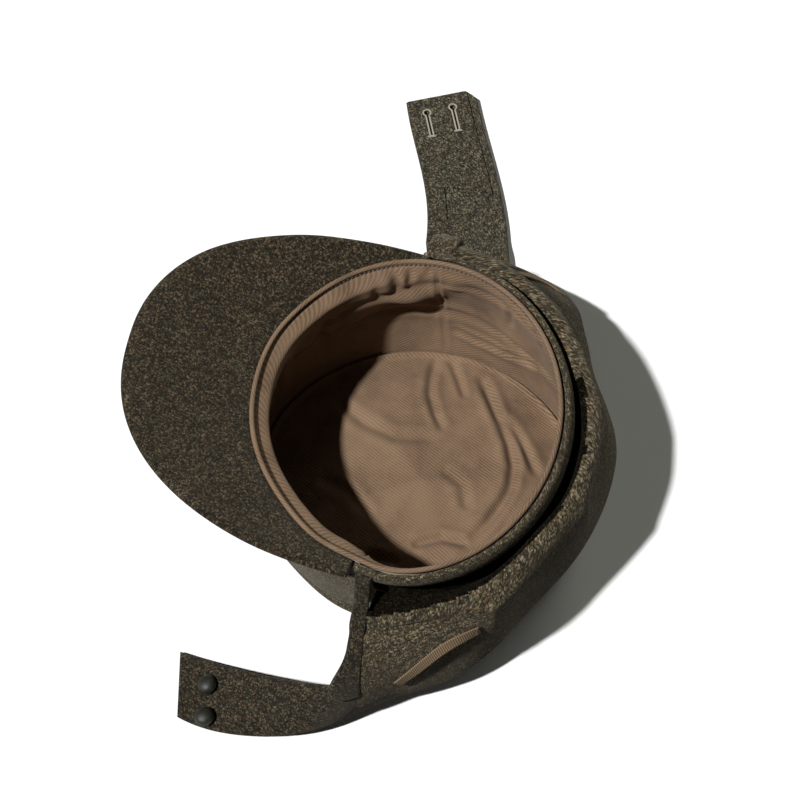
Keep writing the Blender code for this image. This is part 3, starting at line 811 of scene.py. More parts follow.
@dataclass(frozen=True)
class SewingThread:
    """Twisted sewing thread."""

    name: str
    colour: Colour

    def make(self) -> bpy.types.Material:
        """Make the material."""
        graph = Graph(self.name)
        place = graph.place()
        ply = graph.sine(graph.along(place, (5200.0, 5200.0, 3600.0)))
        fuzz = graph.speckle(place, 1800.0, 2.0, 0.6)
        tone = ply * 0.45 + fuzz * 0.7
        dark = mixed(self.colour, (0.0, 0.0, 0.0), 0.55)
        pale = mixed(self.colour, (1.0, 1.0, 1.0), 0.10)
        return graph.finish({
            "Base Color": graph.ramp(tone, ((0.2, dark), (0.85, pale))),
            "Roughness": 0.62 + fuzz * 0.25,
            "Normal": graph.bump(tone, 0.0002, 0.6),
        })


@dataclass(frozen=True)
class PaintedButton:
    """Dark olive paint on a pressed button, rubbed on its dome."""

    name: str = "painted_button"
    paint: Colour = (0.0125, 0.0130, 0.0090)
    rubbed: Colour = (0.030, 0.030, 0.022)

    def make(self) -> bpy.types.Material:
        """Make the material."""
        graph = Graph(self.name)
        place = graph.place()
        grain = graph.speckle(place, 1400.0, 3.0, 0.6)
        worn = graph.speckle(place, 420.0, 4.0, 0.65)
        rub = graph.maths("MULTIPLY", worn - 0.50, 5.0, clamp=True)
        return graph.finish({
            "Base Color": graph.blend(rub * 0.7, self.paint, self.rubbed),
            "Roughness": 0.40 + grain * 0.18 + rub * 0.12,
            "Specular IOR Level": 0.35,
            "Normal": graph.bump(grain, 0.0003, 0.35),
        })


@dataclass(frozen=True)
class StiffCanvas:
    """Plain woven stiffening between wool and lining."""

    name: str = "stiff_canvas"
    pitch: float = 0.0012
    dark: Colour = (0.16, 0.14, 0.10)
    pale: Colour = (0.36, 0.32, 0.24)

    def make(self) -> bpy.types.Material:
        """Make the material."""
        graph = Graph(self.name)
        cloth = graph.cloth()
        turns = 2.0 * math.pi / self.pitch
        warp = graph.sine(graph.along(cloth, (turns, 0.0, 0.0)))
        weft = graph.sine(graph.along(cloth, (0.0, turns, 0.0)))
        weave = warp * weft + graph.speckle(cloth, 700.0) * 0.3
        return graph.finish({
            "Base Color": graph.ramp(weave, ((0.0, self.dark), (1.0, self.pale))),
            "Roughness": 0.85 + weave * 0.1,
            "Normal": graph.bump(weave, 0.0005, 0.6),
        })


@dataclass(frozen=True)
class PaleFloor:
    """Matt white studio floor."""

    name: str = "pale_floor"
    dark: Colour = (0.90, 0.90, 0.895)
    pale: Colour = (0.93, 0.93, 0.925)

    def make(self) -> bpy.types.Material:
        """Make the material."""
        graph = Graph(self.name)
        tone = graph.speckle(graph.place(), 3.0, 2.0, 0.5)
        return graph.finish({
            "Base Color": graph.ramp(tone, ((0.2, self.dark), (0.8, self.pale))),
            "Roughness": 0.9 + tone * 0.05,
            "Specular IOR Level": 0.1,
        })


def mixed(first: Colour, second: Colour, amount: float) -> Colour:
    """Blend two colours as numbers."""
    return tuple(float(mix(a, b, amount)) for a, b in zip(first, second))


def once(finish: Any) -> Any:
    """A field for the material of a finish, made together with its owner."""
    return field(default_factory=finish.make)


@dataclass
class Wardrobe:
    """Every finish, made once."""

    wool: bpy.types.Material = once(MelangeWool())
    # Painted light: a brighter copy of the wool for the right ear flap, standing in for more light
    # falling on it.
    painted_light_flap_wool: bpy.types.Material = once(MelangeWool("painted_light_flap_wool", light=1.36))
    # Painted shade: a near-black copy of the wool for the shadowed crevice behind the flap.
    painted_shade_wool: bpy.types.Material = once(MelangeWool("painted_shade_wool", light=0.10, sheen=0.01))
    peak_wool: bpy.types.Material = once(MelangeWool("peak_wool", 1.04, 0.48))
    # A darker copy of the wool for the right strap; on the right hem it is painted shade.
    right_strap_wool: bpy.types.Material = once(MelangeWool("right_strap_wool", light=0.44))
    left_strap_wool: bpy.types.Material = once(MelangeWool("left_strap_wool", 0.92, 0.86))
    cotton: bpy.types.Material = once(TwillCotton())
    tape: bpy.types.Material = once(RibbedTape())
    canvas: bpy.types.Material = once(StiffCanvas())
    button: bpy.types.Material = once(PaintedButton())
    dark_thread: bpy.types.Material = once(SewingThread("dark_thread", (0.060, 0.046, 0.030)))
    pale_thread: bpy.types.Material = once(SewingThread("pale_thread", (0.400, 0.365, 0.270)))
    floor: bpy.types.Material = once(PaleFloor())


def settle(
    item: bpy.types.Object,
    finish: bpy.types.Material,
    slot: Slot,
    body: Body,
    nodes: Sequence[str] = (),
    towards: tuple[Body, np.ndarray, np.ndarray] | None = None,
) -> bpy.types.Object:
    """Dress a piece, hide the solids it stands for and, unless towards is given, join it to its
    body.

    Args:
        item: The piece.
        finish: Its material.
        slot: Not used.
        body: Body that it rides on.
        nodes: Solids that it stands for.
        towards: A second body and two points; when given, the piece is only baked in place and
            joined to no body.

    Returns:
        The piece.
    """
    item.data.materials.clear()
    item.data.materials.append(finish)
    if towards is None:
        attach(item, body.value)
    else:
        other, start, end = towards
        tuple(start)
        tuple(end)
        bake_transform(item)
    if nodes:
        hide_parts(*nodes)
    LOG.info("%s on %s, %d faces", item.name, body.value, len(item.data.polygons))
    return item


def retone(
    item: bpy.types.Object,
    finish: bpy.types.Material,
    chosen: Callable[[np.ndarray], np.ndarray],
) -> None:
    """Give some faces of a piece a second finish.

    Args:
        item: The piece.
        finish: The second material.
        chosen: Test that picks faces by their middles.
    """
    mesh = item.data
    middles = np.empty(len(mesh.polygons) * 3)
    mesh.polygons.foreach_get("center", middles)
    mesh.materials.append(finish)
    mesh.polygons.foreach_set("material_index", chosen(middles.reshape(-1, 3)).astype(np.int32))
    mesh.update()


def declare(item: bpy.types.Object, points: np.ndarray, hold: Hold) -> None:
    """Measure a cloth piece's area, width and length; nothing is kept.

    Args:
        item: Not used.
        points: Grid on the middle of the cloth.
        hold: Not used.
    """
    across = np.cross(points[1:, :-1] - points[:-1, :-1], points[:-1, 1:] - points[:-1, :-1])
    beyond = np.cross(points[:-1, 1:] - points[1:, 1:], points[1:, :-1] - points[1:, 1:])
    area = float((np.linalg.norm(across, axis=-1) + np.linalg.norm(beyond, axis=-1)).sum() / 2.0)
    width = float(lengths_along(points, 0)[-1].max())
    length = max(float(lengths_along(points, 1)[:, -1].max()), area / width)


# The cap's surfaces


@dataclass(frozen=True)
class CapForm:
    """Surfaces that the cloth lies on, in metres and degrees.

    They are those of the solids, with the sag of soft cloth. A row of slump is an angle, a spread
    and a depth, and a row of waist adds a height and how far it reaches up and down. A row of
    drape_table is an angle, how far out and how far down the ridge lies, and how far out and how
    high the middle and the free edge of the hanging part lie.
    """

    rim_half_length: float = 0.0834
    rim_half_width: float = 0.0976
    rim_height: float = 0.096
    rim_forward: float = 0.009
    crown_half_length: float = 0.097
    crown_half_width: float = 0.093
    crown_edge_height: float = 0.012
    crown_edge_round: float = 0.011
    wall_bulge: float = 0.004
    in_wool: float = 0.0022
    out_wool: float = 0.0040
    wool: float = 0.0018
    gap: float = 0.0003
    ridge_radius: float = 0.0032
    flap_seam_drop: float = 0.025
    crease_out: float = 0.0225
    crease_drop: float = 0.022
    crease_lip: float = 0.0035
    crease_dip: float = 0.0050
    neck_half: float = 14.0
    ear_rear: float = 51.0
    ear_front: float = 88.0
    left_skew: float = 11.0
    flap_half: float = 0.00195
    slump: tuple[Triple, ...] = (
        (-127.0, 34.0, 0.0078),
        (-97.0, 12.0, 0.0028),
        (162.0, 14.0, -0.0012),
    )
    waist: tuple[tuple[float, ...], ...] = (
        (-78.0, 34.0, 0.0050, 0.071, 0.017),
        (-20.0, 40.0, 0.0030, 0.071, 0.017),
        (-106.0, 17.0, 0.0034, 0.034, 0.026),
    )
    drape_table: tuple[tuple[float, ...], ...] = (
        (-100.0, 0.0165, 0.018, 0.0500, 0.046, 0.0475, 0.0060),
        (-91.0, 0.0162, 0.018, 0.0440, 0.045, 0.0407, 0.0080),
        (-80.0, 0.0140, 0.016, 0.0315, 0.044, 0.0298, 0.0125),
        (-70.0, 0.0125, 0.014, 0.0265, 0.045, 0.0268, 0.0155),
        (-60.0, 0.0125, 0.013, 0.0245, 0.048, 0.0258, 0.0215),
        (-50.0, 0.0120, 0.012, 0.0230, 0.051, 0.0228, 0.0280),
        (-40.0, 0.0112, 0.011, 0.0195, 0.054, 0.0185, 0.0330),
        (-28.0, 0.0115, 0.009, 0.0200, 0.058, 0.0205, 0.0410),
        (-14.0, 0.0140, 0.007, 0.0235, 0.060, 0.0240, 0.0450),
        (0.0, 0.0148, 0.006, 0.0240, 0.061, 0.0270, 0.0470),
        (14.0, 0.0140, 0.006, 0.0255, 0.062, 0.0290, 0.0480),
        (30.0, 0.0116, 0.006, 0.0215, 0.065, 0.0235, 0.0540),
        (44.0, 0.0112, 0.006, 0.0250, 0.066, 0.0300, 0.0560),
        (54.0, 0.0112, 0.006, 0.0310, 0.063, 0.0420, 0.0460),
        (64.0, 0.0112, 0.006, 0.0355, 0.050, 0.0570, 0.0200),
        (74.0, 0.0112, 0.006, 0.0350, 0.032, 0.0670, 0.0060),
        (82.0, 0.0112, 0.006, 0.0350, 0.027, 0.0710, 0.0040),
        (94.0, 0.0112, 0.007, 0.0350, 0.025, 0.0740, 0.0036),
        (106.0, 0.0115, 0.008, 0.0350, 0.025, 0.0760, 0.0036),
    )

    def pull(self, angle: Any) -> Any:
        """How far the soft wall is drawn in at an angle."""
        total = 0.0
        for middle, spread, depth in self.slump:
            gap = wrapped(np.asarray(angle, float) - middle)
            total = total + depth * bell(gap, spread)
        return total

    def tuck(self, angle: Any, height: Any) -> Any:
        """How far the wall is drawn in under the band."""
        total = 0.0
        for middle, spread, depth, level, tall in self.waist:
            gap = wrapped(np.asarray(angle, float) - middle)
            total = total + depth * bell(gap, spread) * bell(height - level, tall)
        return total

    def wall(self, angle: Any, height: Any, offset: Any) -> np.ndarray:
        """Points on the side wall, offset outwards from the lining's inner face."""
        given = [np.asarray(value, float) for value in (angle, height, offset)]
        angle, height, offset = np.broadcast_arrays(*given)
        fall = (self.rim_height - height) / (self.rim_height - self.crown_edge_height)
        swell = self.wall_bulge * np.sin(np.pi * np.clip(fall, 0.0, 1.0)) + offset
        swell = swell - self.pull(angle) - self.tuck(angle, height)
        half_x = mix(self.rim_half_length, self.crown_half_length - self.out_wool, fall) + swell
        half_y = mix(self.rim_half_width, self.crown_half_width - self.out_wool, fall) + swell
        turn = np.radians(angle)
        middle = -self.rim_forward * (1.0 - fall)
        return np.stack([middle + half_x * np.cos(turn), half_y * np.sin(turn), height], axis=-1)

    def rim(self, angle: float, outward: float, height: float) -> np.ndarray:
        """A point measured outwards from the wool at the rim."""
        turn = math.radians(angle)
        return np.array([
            -self.rim_forward + (self.rim_half_length + self.out_wool + outward) * math.cos(turn),
            (self.rim_half_width + self.out_wool + outward) * math.sin(turn),
            height,
        ])

    def polar(self, points: np.ndarray) -> tuple[np.ndarray, np.ndarray]:
        """Angles round the cap, and distances outwards from the wool at the rim."""
        long = (points[:, 0] + self.rim_forward) / (self.rim_half_length + self.out_wool)
        wide = points[:, 1] / (self.rim_half_width + self.out_wool)
        reach = (self.rim_half_length + self.rim_half_width) / 2.0 + self.out_wool
        return np.degrees(np.arctan2(wide, long)), (np.hypot(long, wide) - 1.0) * reach

    def drape(self, angle: float) -> np.ndarray:
        """The six drape values at an angle, by a cubic through the table."""
        table = np.array(self.drape_table)
        index = int(np.clip(np.searchsorted(table[:, 0], angle) - 1, 0, len(table) - 2))
        first, second = table[index], table[index + 1]
        before, after = table[max(0, index - 1)], table[min(len(table) - 1, index + 2)]
        span = second[0] - first[0]
        part = (angle - first[0]) / span
        start = (second - before)[1:] / (second[0] - before[0]) * span
        finish = (after - first)[1:] / (after[0] - first[0]) * span
        cube = 2.0 * first[1:] - 2.0 * second[1:] + start + finish
        square = -3.0 * first[1:] + 3.0 * second[1:] - 2.0 * start - finish
        return ((cube * part + square) * part + start) * part + first[1:]

    def crease(self, angle: float) -> np.ndarray:
        """A point on the flap's crease, straight across each moving stretch."""
        height = self.rim_height - self.crease_drop
        spans = (
            (-self.ear_front, -self.ear_rear),
            (-self.neck_half, self.neck_half),
            (self.ear_rear, self.ear_front),
        )
        for start, finish in spans:
            if start <= angle <= finish:
                first = self.rim(start, self.crease_out, height)
                second = self.rim(finish, self.crease_out, height)
                return mix(first, second, (angle - start) / (finish - start))
        part = (abs(angle) - self.neck_half) / (self.ear_rear - self.neck_half)
        dip = self.crease_dip * math.sin(math.pi * min(1.0, max(0.0, part)))
        return self.rim(angle, self.crease_out - dip, height)

    def skirt(self, angle: float, along: float) -> np.ndarray:
        """A point on the middle of the hanging part, from crease to free edge."""
        _, _, mid_out, mid_height, edge_out, edge_height = self.drape(angle)
        crease = self.crease(angle)
        part = (angle - self.ear_rear) / (self.ear_front - self.ear_rear)
        skew = self.left_skew * float(ease(part))
        middle = self.rim(angle + skew * 0.4, mid_out, mid_height)
        edge = self.rim(angle + skew, edge_out, edge_height)
        control = middle * 2.0 - (crease + edge) * 0.5
        rest = 1.0 - along
        return crease * rest * rest + control * 2.0 * rest * along + edge * along * along

    def outward(self, angle: float, along: float) -> np.ndarray:
        """Outward direction of the hanging part."""
        turn = self.skirt(angle + 0.5, along) - self.skirt(angle - 0.5, along)
        fall = self.skirt(angle, along + 0.01) - self.skirt(angle, along - 0.01)
        return unit(np.cross(fall, turn))

    def fold(self, angle: float, row: int) -> np.ndarray:
        """A knot of the standing part, from the wall seam over the ridge to the crease."""
        ridge_out, ridge_drop = self.drape(angle)[:2]
        if row == 0:
            height = self.rim_height - self.flap_seam_drop
            return self.wall(angle, height, self.out_wool + self.gap + self.flap_half * 1.35)
        if row >= 6:
            crease = self.crease(angle)
            back = unit(crease - self.skirt(angle, 0.05))
            return crease + back * self.crease_lip * (7 - row)
        turn = math.radians(mix(186.0, 34.0, (row - 1) / 4.0))
        height = self.rim_height - ridge_drop - self.ridge_radius
        return self.rim(
            angle,
            ridge_out + self.ridge_radius * math.cos(turn),
            height + self.ridge_radius * math.sin(turn),
        )

    def profile(self, angle: float, fold: np.ndarray, skirt: np.ndarray) -> np.ndarray:
        """One line of the flap from its seam to its free edge.

        Args:
            angle: Angle round the cap.
            fold: Stations over the standing part.
            skirt: Stations down the hanging part.

        Returns:
            The points, standing part first; the crease is in both.
        """
        knots = [self.fold(angle, row) for row in range(8)]
        knots += [self.skirt(angle, along) for along in (0.14, 0.28, 0.42, 0.56, 0.70, 0.85, 1.0)]
        line = np.array(knots)
        return np.concatenate([through(line, fold, (0, 7)), through(line, skirt, (7, 14))])


# Sub-assemblies


@dataclass
class Crown:
    """The wool crown: flat tip, rounded edge and side wall in one skin, with its seams.

    A pair such as ripple_top fades in from its first height or angle to its second. The lip beside
    a seam is a share of the seam's depth, a distance from it and a width.
    """

    form: CapForm
    columns: int = 240
    tip_rows: int = 22
    edge_rows: int = 8
    wall_rows: int = 40
    wall_foot: float = 0.0012
    ripples: tuple[Ripple, ...] = (Ripple(38.0, 3.1, 0.00077), Ripple(90.0, 8.4, 0.00033))
    ripple_top: Spot = (0.060, 0.040)
    ripple_foot: Spot = (0.004, 0.016)
    seams: tuple[float, ...] = (90.0, 180.0, 270.0)
    seam_foot: Spot = (0.010, 0.014)
    seam_depth: float = 0.0006
    seam_width: float = 0.0009
    seam_lip: Triple = (0.5, 0.0026, 0.0016)
    degree: float = 1.62e-3
    map_radius: float = 0.092
    map_lift: float = 0.1
    band_end: Spot = (89.0, 92.0)
    band_drop: float = 0.0017
    rest_drop: float = 0.0049
    welt: float = 0.0017
    welt_width: float = 0.0032
    welt_fade: float = 4.0
    # Heights, low height on the right, turning angle and end angle of the painted shade on the wall
    # behind the flap.
    painted_shade_heights: Spot = (0.070, 0.0895)
    painted_shade_low_right: float = 0.050
    painted_shade_turn: float = -45.0
    painted_shade_end: float = 92.0

    def rings(self, angles: np.ndarray) -> list[np.ndarray]:
        """Rings of points from the middle of the tip up to the rim."""
        form = self.form
        half = form.wool / 2.0
        turns = np.radians(angles)
        reach = form.crown_half_length - half
        ratio = form.crown_half_width / form.crown_half_length
        inner = form.crown_edge_round - half
        flat = reach - inner
        tip = [(flat * share, half) for share in np.linspace(0.0, 1.0, self.tip_rows)]
        for step in range(1, self.edge_rows + 1):
            turn = math.radians(90.0 * step / self.edge_rows)
            tip.append((flat + inner * math.sin(turn), half + inner - inner * math.cos(turn)))
        rings = []
        for r, z in tip:
            drawn = form.pull(angles) * (r / reach) ** 2
            long, wide = (r - drawn) * np.cos(turns), (r * ratio - drawn) * np.sin(turns)
            rings.append(np.stack([long, wide, np.full(len(turns), z)], axis=-1))
        behind = rising(np.abs(wrapped(angles)), self.band_end)
        top = form.rim_height - mix(self.band_drop, self.rest_drop, behind)
        low = form.crown_edge_height + self.wall_foot
        for share in stations(self.wall_rows, 0.02, False, True):
            rings.append(form.wall(angles, mix(low, top, share), form.in_wool + half))
        return rings

    def build(self) -> bpy.types.Object:
        """Make the crown's skin."""
        form = self.form
        angles = np.arange(self.columns) * 360.0 / self.columns
        points = np.stack(self.rings(angles), axis=1)
        height = points[..., 2]
        free = rising(height, self.ripple_top) * rising(height, self.ripple_foot)
        move = rippled(points, self.ripples) * free
        share, lip, spread = self.seam_lip
        for seam in self.seams:
            gap = np.abs(wrapped(angles - seam)) * self.degree
            groove = bell(gap, self.seam_width) - share * bell(gap - lip, spread)
            move -= (groove[:, None] * self.seam_depth) * rising(height, self.seam_foot)
        order = np.arange(points.shape[1])
        ring = bell(height - form.crown_edge_height, self.seam_width) * (order > self.tip_rows - 2)
        move -= ring * self.seam_depth
        welt = bell(height - (form.rim_height - form.flap_seam_drop), self.welt_width) * self.welt
        move += welt * ease((self.painted_shade_end - np.abs(wrapped(angles))) / self.welt_fade)[:, None]
        points = points + unit(points * np.array([1.0, 1.0, 0.0])) * move[..., None]
        girth = np.broadcast_to(np.radians(angles)[:, None] * self.map_radius, height.shape)
        around = np.stack([girth, height + self.map_lift], axis=-1)
        flat = (order < self.tip_rows + self.edge_rows - 2)[None, :, None]
        maps = np.where(flat, points[..., :2], around)
        return slab("crown_wool", points, form.wool / 2.0, "d", ring=True, maps=maps)

    def dress(self, wardrobe: Wardrobe) -> None:
        """Build and dress the crown."""
        nodes = ("crown_tip", "side_panel_back", "side_panel_front_left", "side_panel_front_right")
        item = settle(self.build(), wardrobe.wool, Slot.WOOL, Body.CAP, nodes)
        # Painted shade: the wall in the crevice behind the flap takes the near-black wool.
        retone(item, wardrobe.painted_shade_wool, self.painted_shade_faces)

    def painted_shade_faces(self, points: np.ndarray) -> np.ndarray:
        """Which faces of the wall get the painted shade of the crevice behind the flap."""
        angles, _ = self.form.polar(points)
        low, high = self.painted_shade_heights
        floor = np.where(angles < self.painted_shade_turn, self.painted_shade_low_right, low)
        return (np.abs(angles) < self.painted_shade_end) & (points[:, 2] > floor) & (points[:, 2] < high)


@dataclass(frozen=True)
class Pleat:
    """A crease drawn on the lining, with a lifted lip on either side.

    Lines on the tip are in millimetres along x and y; lines on the wall are an angle and a height.
    """

    line: tuple[Spot, ...]
    depth: float
    width: float
    lip: float = 0.45
    lip_place: float = 1.9
    lip_width: float = 1.1
    starts: float = 0.15
    ends: float = 0.2

    def rise(self, points: np.ndarray) -> np.ndarray:
        """How far the cloth rises at flat points given in millimetres."""
        gap, place = line_distance(points, self.line)
        fade = np.sqrt(ease(place / self.starts) * ease((1.0 - place) / self.ends))
        dip = bell(gap, self.width)
        lips = bell(gap - self.lip_place * self.width, self.lip_width * self.width)
        return self.depth * fade * (lips * self.lip - dip)


@dataclass
class Lining:
    """The cotton lining: loose tip, wall and rolled edge, with the tucks and folds of wear.

    Folds of the wall are in millimetres and degrees. A swell or a lip is a height, a distance and
    a width; a seam or a dip is a depth and a width. Gathers and puckers are a level that the waves
    are taken from and a height.
    """

    form: CapForm
    columns: int = 320
    tip_rows: int = 62
    wall_rows: int = 70
    edge_height: float = 0.016
    roll_radius: float = 0.0014
    roll_offset: float = 0.0010
    rise: float = 0.008
    girth: float = 92.0
    lip: float = 0.0092
    lip_drop: float = 0.0055
    groove: float = 0.0024
    slack: float = 0.0008
    inset: float = 0.0004
    roll_rows: int = 11
    roll_map: float = 0.0004
    tip_drop: float = 0.0011
    tip_even: float = 0.972
    tip_close: tuple[float, ...] = (0.979, 0.985, 0.990, 0.994, 0.997, 1.0)
    tip_ripples: tuple[Ripple, ...] = (Ripple(26.0, 1.3, 0.0016), Ripple(70.0, 4.6, 0.0006))
    tip_slope: float = 0.5
    tip_held: float = 0.05
    tip_swell: Triple = (0.0022, 0.022, 0.012)
    tip_seam: Spot = (0.0026, 0.010)
    gather: Ripple = Ripple(9.0, 6.1)
    gather_set: Spot = (0.3, 0.0022)
    gather_fade: float = 0.09
    wall_ripples: tuple[Ripple, ...] = (Ripple(42.0, 5.5, 0.8), Ripple(110.0, 2.2, 0.22))
    pucker: Ripple = Ripple(150.0, 7.7)
    pucker_stretch: Triple = (1.0, 0.25, 1.0)
    pucker_set: Spot = (0.35, 0.45)
    pucker_high: Spot = (66.0, 90.0)
    pucker_turn: Spot = (92.0, 104.0)
    bulge_under: float = 2.2
    bulge_edge: float = 1.4
    seam_lip: Triple = (0.7, 2.2, 1.6)
    seam_dip: Spot = (2.0, 0.8)
    held_foot: float = 0.004
    held_top: float = 0.006
    calm_top: float = 0.030
    calm_turn: Spot = (104.0, 124.0)
    lip_rows: int = 16
    lip_foot: Spot = (0.046, 0.080)
    lip_seam: Spot = (0.0011, 0.7)
    far_lip: tuple[float, Spot] = (0.12, (96.0, 120.0))
    near_lip: tuple[float, Spot] = (0.40, (82.0, 106.0))
    rounding: float = 0.0006
    settled: float = 0.0004
    sag: Spot = (0.002, 0.5)
    canvas_span: Spot = (0.0543, 0.0943)
    canvas_out: float = 0.0015
    canvas_half: float = 0.0003
    tip_pleats: tuple[Pleat, ...] = (
        Pleat(((-9, 86), (-9, 71), (-7, 58), (-1, 45), (7, 33)), 2.0, 2.3),
        Pleat(((0, 86), (7, 73), (14, 59)), 1.8, 2.0),
        Pleat((
            (18, 80), (27, 65), (37, 48), (45, 34), (50, 20), (51, 6), (49, -3), (43, -18),
            (35, -33),
        ), 3.4, 2.7),
        Pleat(((38, 54), (48, 42), (57, 30), (65, 17)), 2.4, 2.6),
        Pleat(((4, -42), (19, -34), (36, -34)), 2.2, 2.6),
        Pleat(((-21, -53), (-10, -53), (0, -54)), 2.0, 2.4),
        Pleat(((-62, 44), (-40, 30), (-20, 24), (4, 28)), 1.6, 3.4),
        Pleat(((-58, -10), (-38, -16), (-22, -30)), 1.8, 3.4),
        Pleat(((10, 10), (24, 2), (30, -14)), 1.4, 2.8),
        Pleat(((60, -20), (66, -2), (72, 12)), 1.6, 2.6),
    )
    wall_pleats: tuple[Pleat, ...] = (
        Pleat(((90, 36), (81, 32), (69, 32), (52, 42)), 2.4, 2.0),
        Pleat(((119, 101), (117, 78)), 1.9, 2.7, 0.6),
        Pleat(((111, 101), (108, 80)), 2.2, 2.8, 0.6),
        Pleat(((103, 101), (103, 84)), 1.8, 2.3, 0.6),
        Pleat(((96, 101), (95, 88)), 1.4, 2.1, 0.5),
        Pleat(((62, 84), (64, 62)), 1.6, 2.0),
        Pleat(((165, 80), (163, 58), (161, 28)), 3.0, 4.5),
        Pleat(((47, 98), (45, 80), (40, 64)), 1.4, 2.4),
        Pleat(((20, 98), (22, 70), (18, 44)), 1.2, 3.0),
        Pleat(((-15, 96), (-14, 70), (-18, 40)), 1.4, 3.0),
        Pleat(((-48, 98), (-46, 72), (-52, 40)), 1.4, 3.0),
        Pleat(((-90, 96), (-92, 66), (-88, 34)), 1.4, 3.0),
        Pleat(((-130, 94), (-134, 66), (-128, 36)), 1.6, 3.4),
        Pleat(((138, 92), (142, 66), (136, 38)), 1.8, 3.4),
        Pleat(((200, 92), (196, 66), (201, 36)), 1.8, 3.4),
    )
    bulges: tuple[tuple[float, float, float, float, float], ...] = (
        (102.0, 72.0, 19.0, 15.0, 8.5),
        (86.0, 80.0, 11.0, 8.0, 4.2),
        (128.0, 60.0, 22.0, 18.0, 3.0),
        (60.0, 52.0, 24.0, 12.0, 2.2),
    )
    seams: tuple[float, ...] = (92.5, 180.0, 267.5)

    def wall_rise(self, angles: np.ndarray, heights: np.ndarray) -> np.ndarray:
        """How far the wall's cloth stands in, in metres, at angles and heights."""
        turned = (angles + 90.0) % 360.0 - 90.0
        across = np.radians(turned) * self.girth
        high = heights * MILLIMETRES
        flat = np.stack([across, high], axis=-1)
        rise = np.zeros(across.shape)
        for pleat in self.wall_pleats:
            line = tuple(
                (math.radians((angle + 90.0) % 360.0 - 90.0) * self.girth, height)
                for angle, height in pleat.line
            )
            rise += replace(pleat, line=line).rise(flat)
        for angle, height, wide, tall, lift in self.bulges:
            side = (across - math.radians(angle) * self.girth) / wide
            up = (high - height) / tall
            up = np.where(up < 0.0, up * self.bulge_under, up)
            rise += lift * np.exp(-(side ** 2 + up ** 2) * self.bulge_edge)
        spread = np.stack([across, high, np.zeros_like(high)], axis=-1) / MILLIMETRES
        rise += rippled(spread, self.wall_ripples)
        level, lift = self.pucker_set
        tuck = level - np.abs(self.pucker.rise(spread * np.array(self.pucker_stretch)))
        rise += tuck * lift * rising(high, self.pucker_high) * rising(turned, self.pucker_turn)
        lip, place, width = self.seam_lip
        depth, narrow = self.seam_dip
        for seam in self.seams:
            gap = np.abs(wrapped(angles - seam)) * self.girth * math.pi / 180.0
            rise += lip * bell(gap - place, width) - depth * bell(gap, narrow)
        return rise / MILLIMETRES

    def tip_grid(self, angles: np.ndarray) -> np.ndarray:
        """Points of the loose tip, from its middle to its seam."""
        turns = np.radians(angles)
        border = self.form.wall(angles, self.edge_height - self.tip_drop, self.inset)
        even = np.linspace(0.0, self.tip_even, self.tip_rows)
        shares = np.concatenate([even, self.tip_close])
        inner = 1.0 - shares
        tip = np.stack([border * np.array([s, s, 1.0]) for s in shares], axis=1)
        flat = tip[..., :2] * MILLIMETRES
        ruffle = sum(pleat.rise(flat) for pleat in self.tip_pleats) / MILLIMETRES
        ruffle = ruffle + rippled(tip * np.array([1.0, 1.0, 0.0]), self.tip_ripples)
        circle = np.stack([np.cos(turns), np.sin(turns), turns * 0.0], axis=-1)
        level, lift = self.gather_set
        gather = (level - np.abs(self.gather.rise(circle))) * lift
        ruffle = ruffle + gather[:, None] * np.exp(-inner / self.gather_fade)
        tip[..., 2] += self.rise * ease(inner / self.tip_slope)
        tip[..., 2] += ruffle * ease(inner / self.tip_held)
        swell, place, width = self.tip_swell
        depth, narrow = self.tip_seam
        tip[..., 2] += swell * bell(inner - place, width) - depth * bell(inner, narrow)
        return tip

    def wall_grid(self, angles: np.ndarray) -> tuple[np.ndarray, np.ndarray]:
        """Points of the wall up to its rolled edge, and the height of each row."""
        form = self.form
        high = form.rim_height - self.roll_radius
        ledge_top = form.rim_height - self.groove
        bend = np.linspace(math.pi / 2.0, 0.0, self.lip_rows)
        ledge = ledge_top - self.lip_drop * (1.0 - np.cos(bend))
        lower = np.linspace(self.edge_height, ledge[0], self.wall_rows)[:-1]
        heights = np.concatenate([lower, ledge, [mix(ledge_top, high, 0.5), high]])
        wide, tall = np.meshgrid(angles, heights, indexing="ij")
        turned = wrapped(wide)
        side = np.abs(turned)
        loose = ease((tall - self.edge_height) / self.held_foot)
        loose = loose * ease((high - tall) / self.held_top)
        calm = mix(1.0, ease((high - tall) / self.calm_top), rising(side, self.calm_turn))
        stand = self.wall_rise(wide, tall) * loose * calm + self.slack * loose
        far, near = (
            mix(least, 1.0, rising(side, span)) for least, span in (self.far_lip, self.near_lip)
        )
        drop = np.clip((ledge_top - tall) / self.lip_drop, 0.0, 1.0)
        puff = np.sqrt(1.0 - (1.0 - drop) ** 2) * rising(tall, self.lip_foot)
        stand = stand + self.lip * np.where(turned > 0.0, far, near) * puff
        stand = 0.5 * (stand + np.hypot(stand, self.rounding)) - self.settled * loose
        wall = form.wall(wide, tall, self.inset - stand)
        slack, share = self.sag
        wall[..., 2] -= np.clip(stand - slack, 0.0, None) * share * (1.0 - puff)
        seam = np.abs(wrapped(wide - 180.0)) * self.girth * math.pi / 180.0
        depth, width = self.lip_seam
        wall[..., 2] -= depth * bell(seam, width) * puff
        return wall, heights

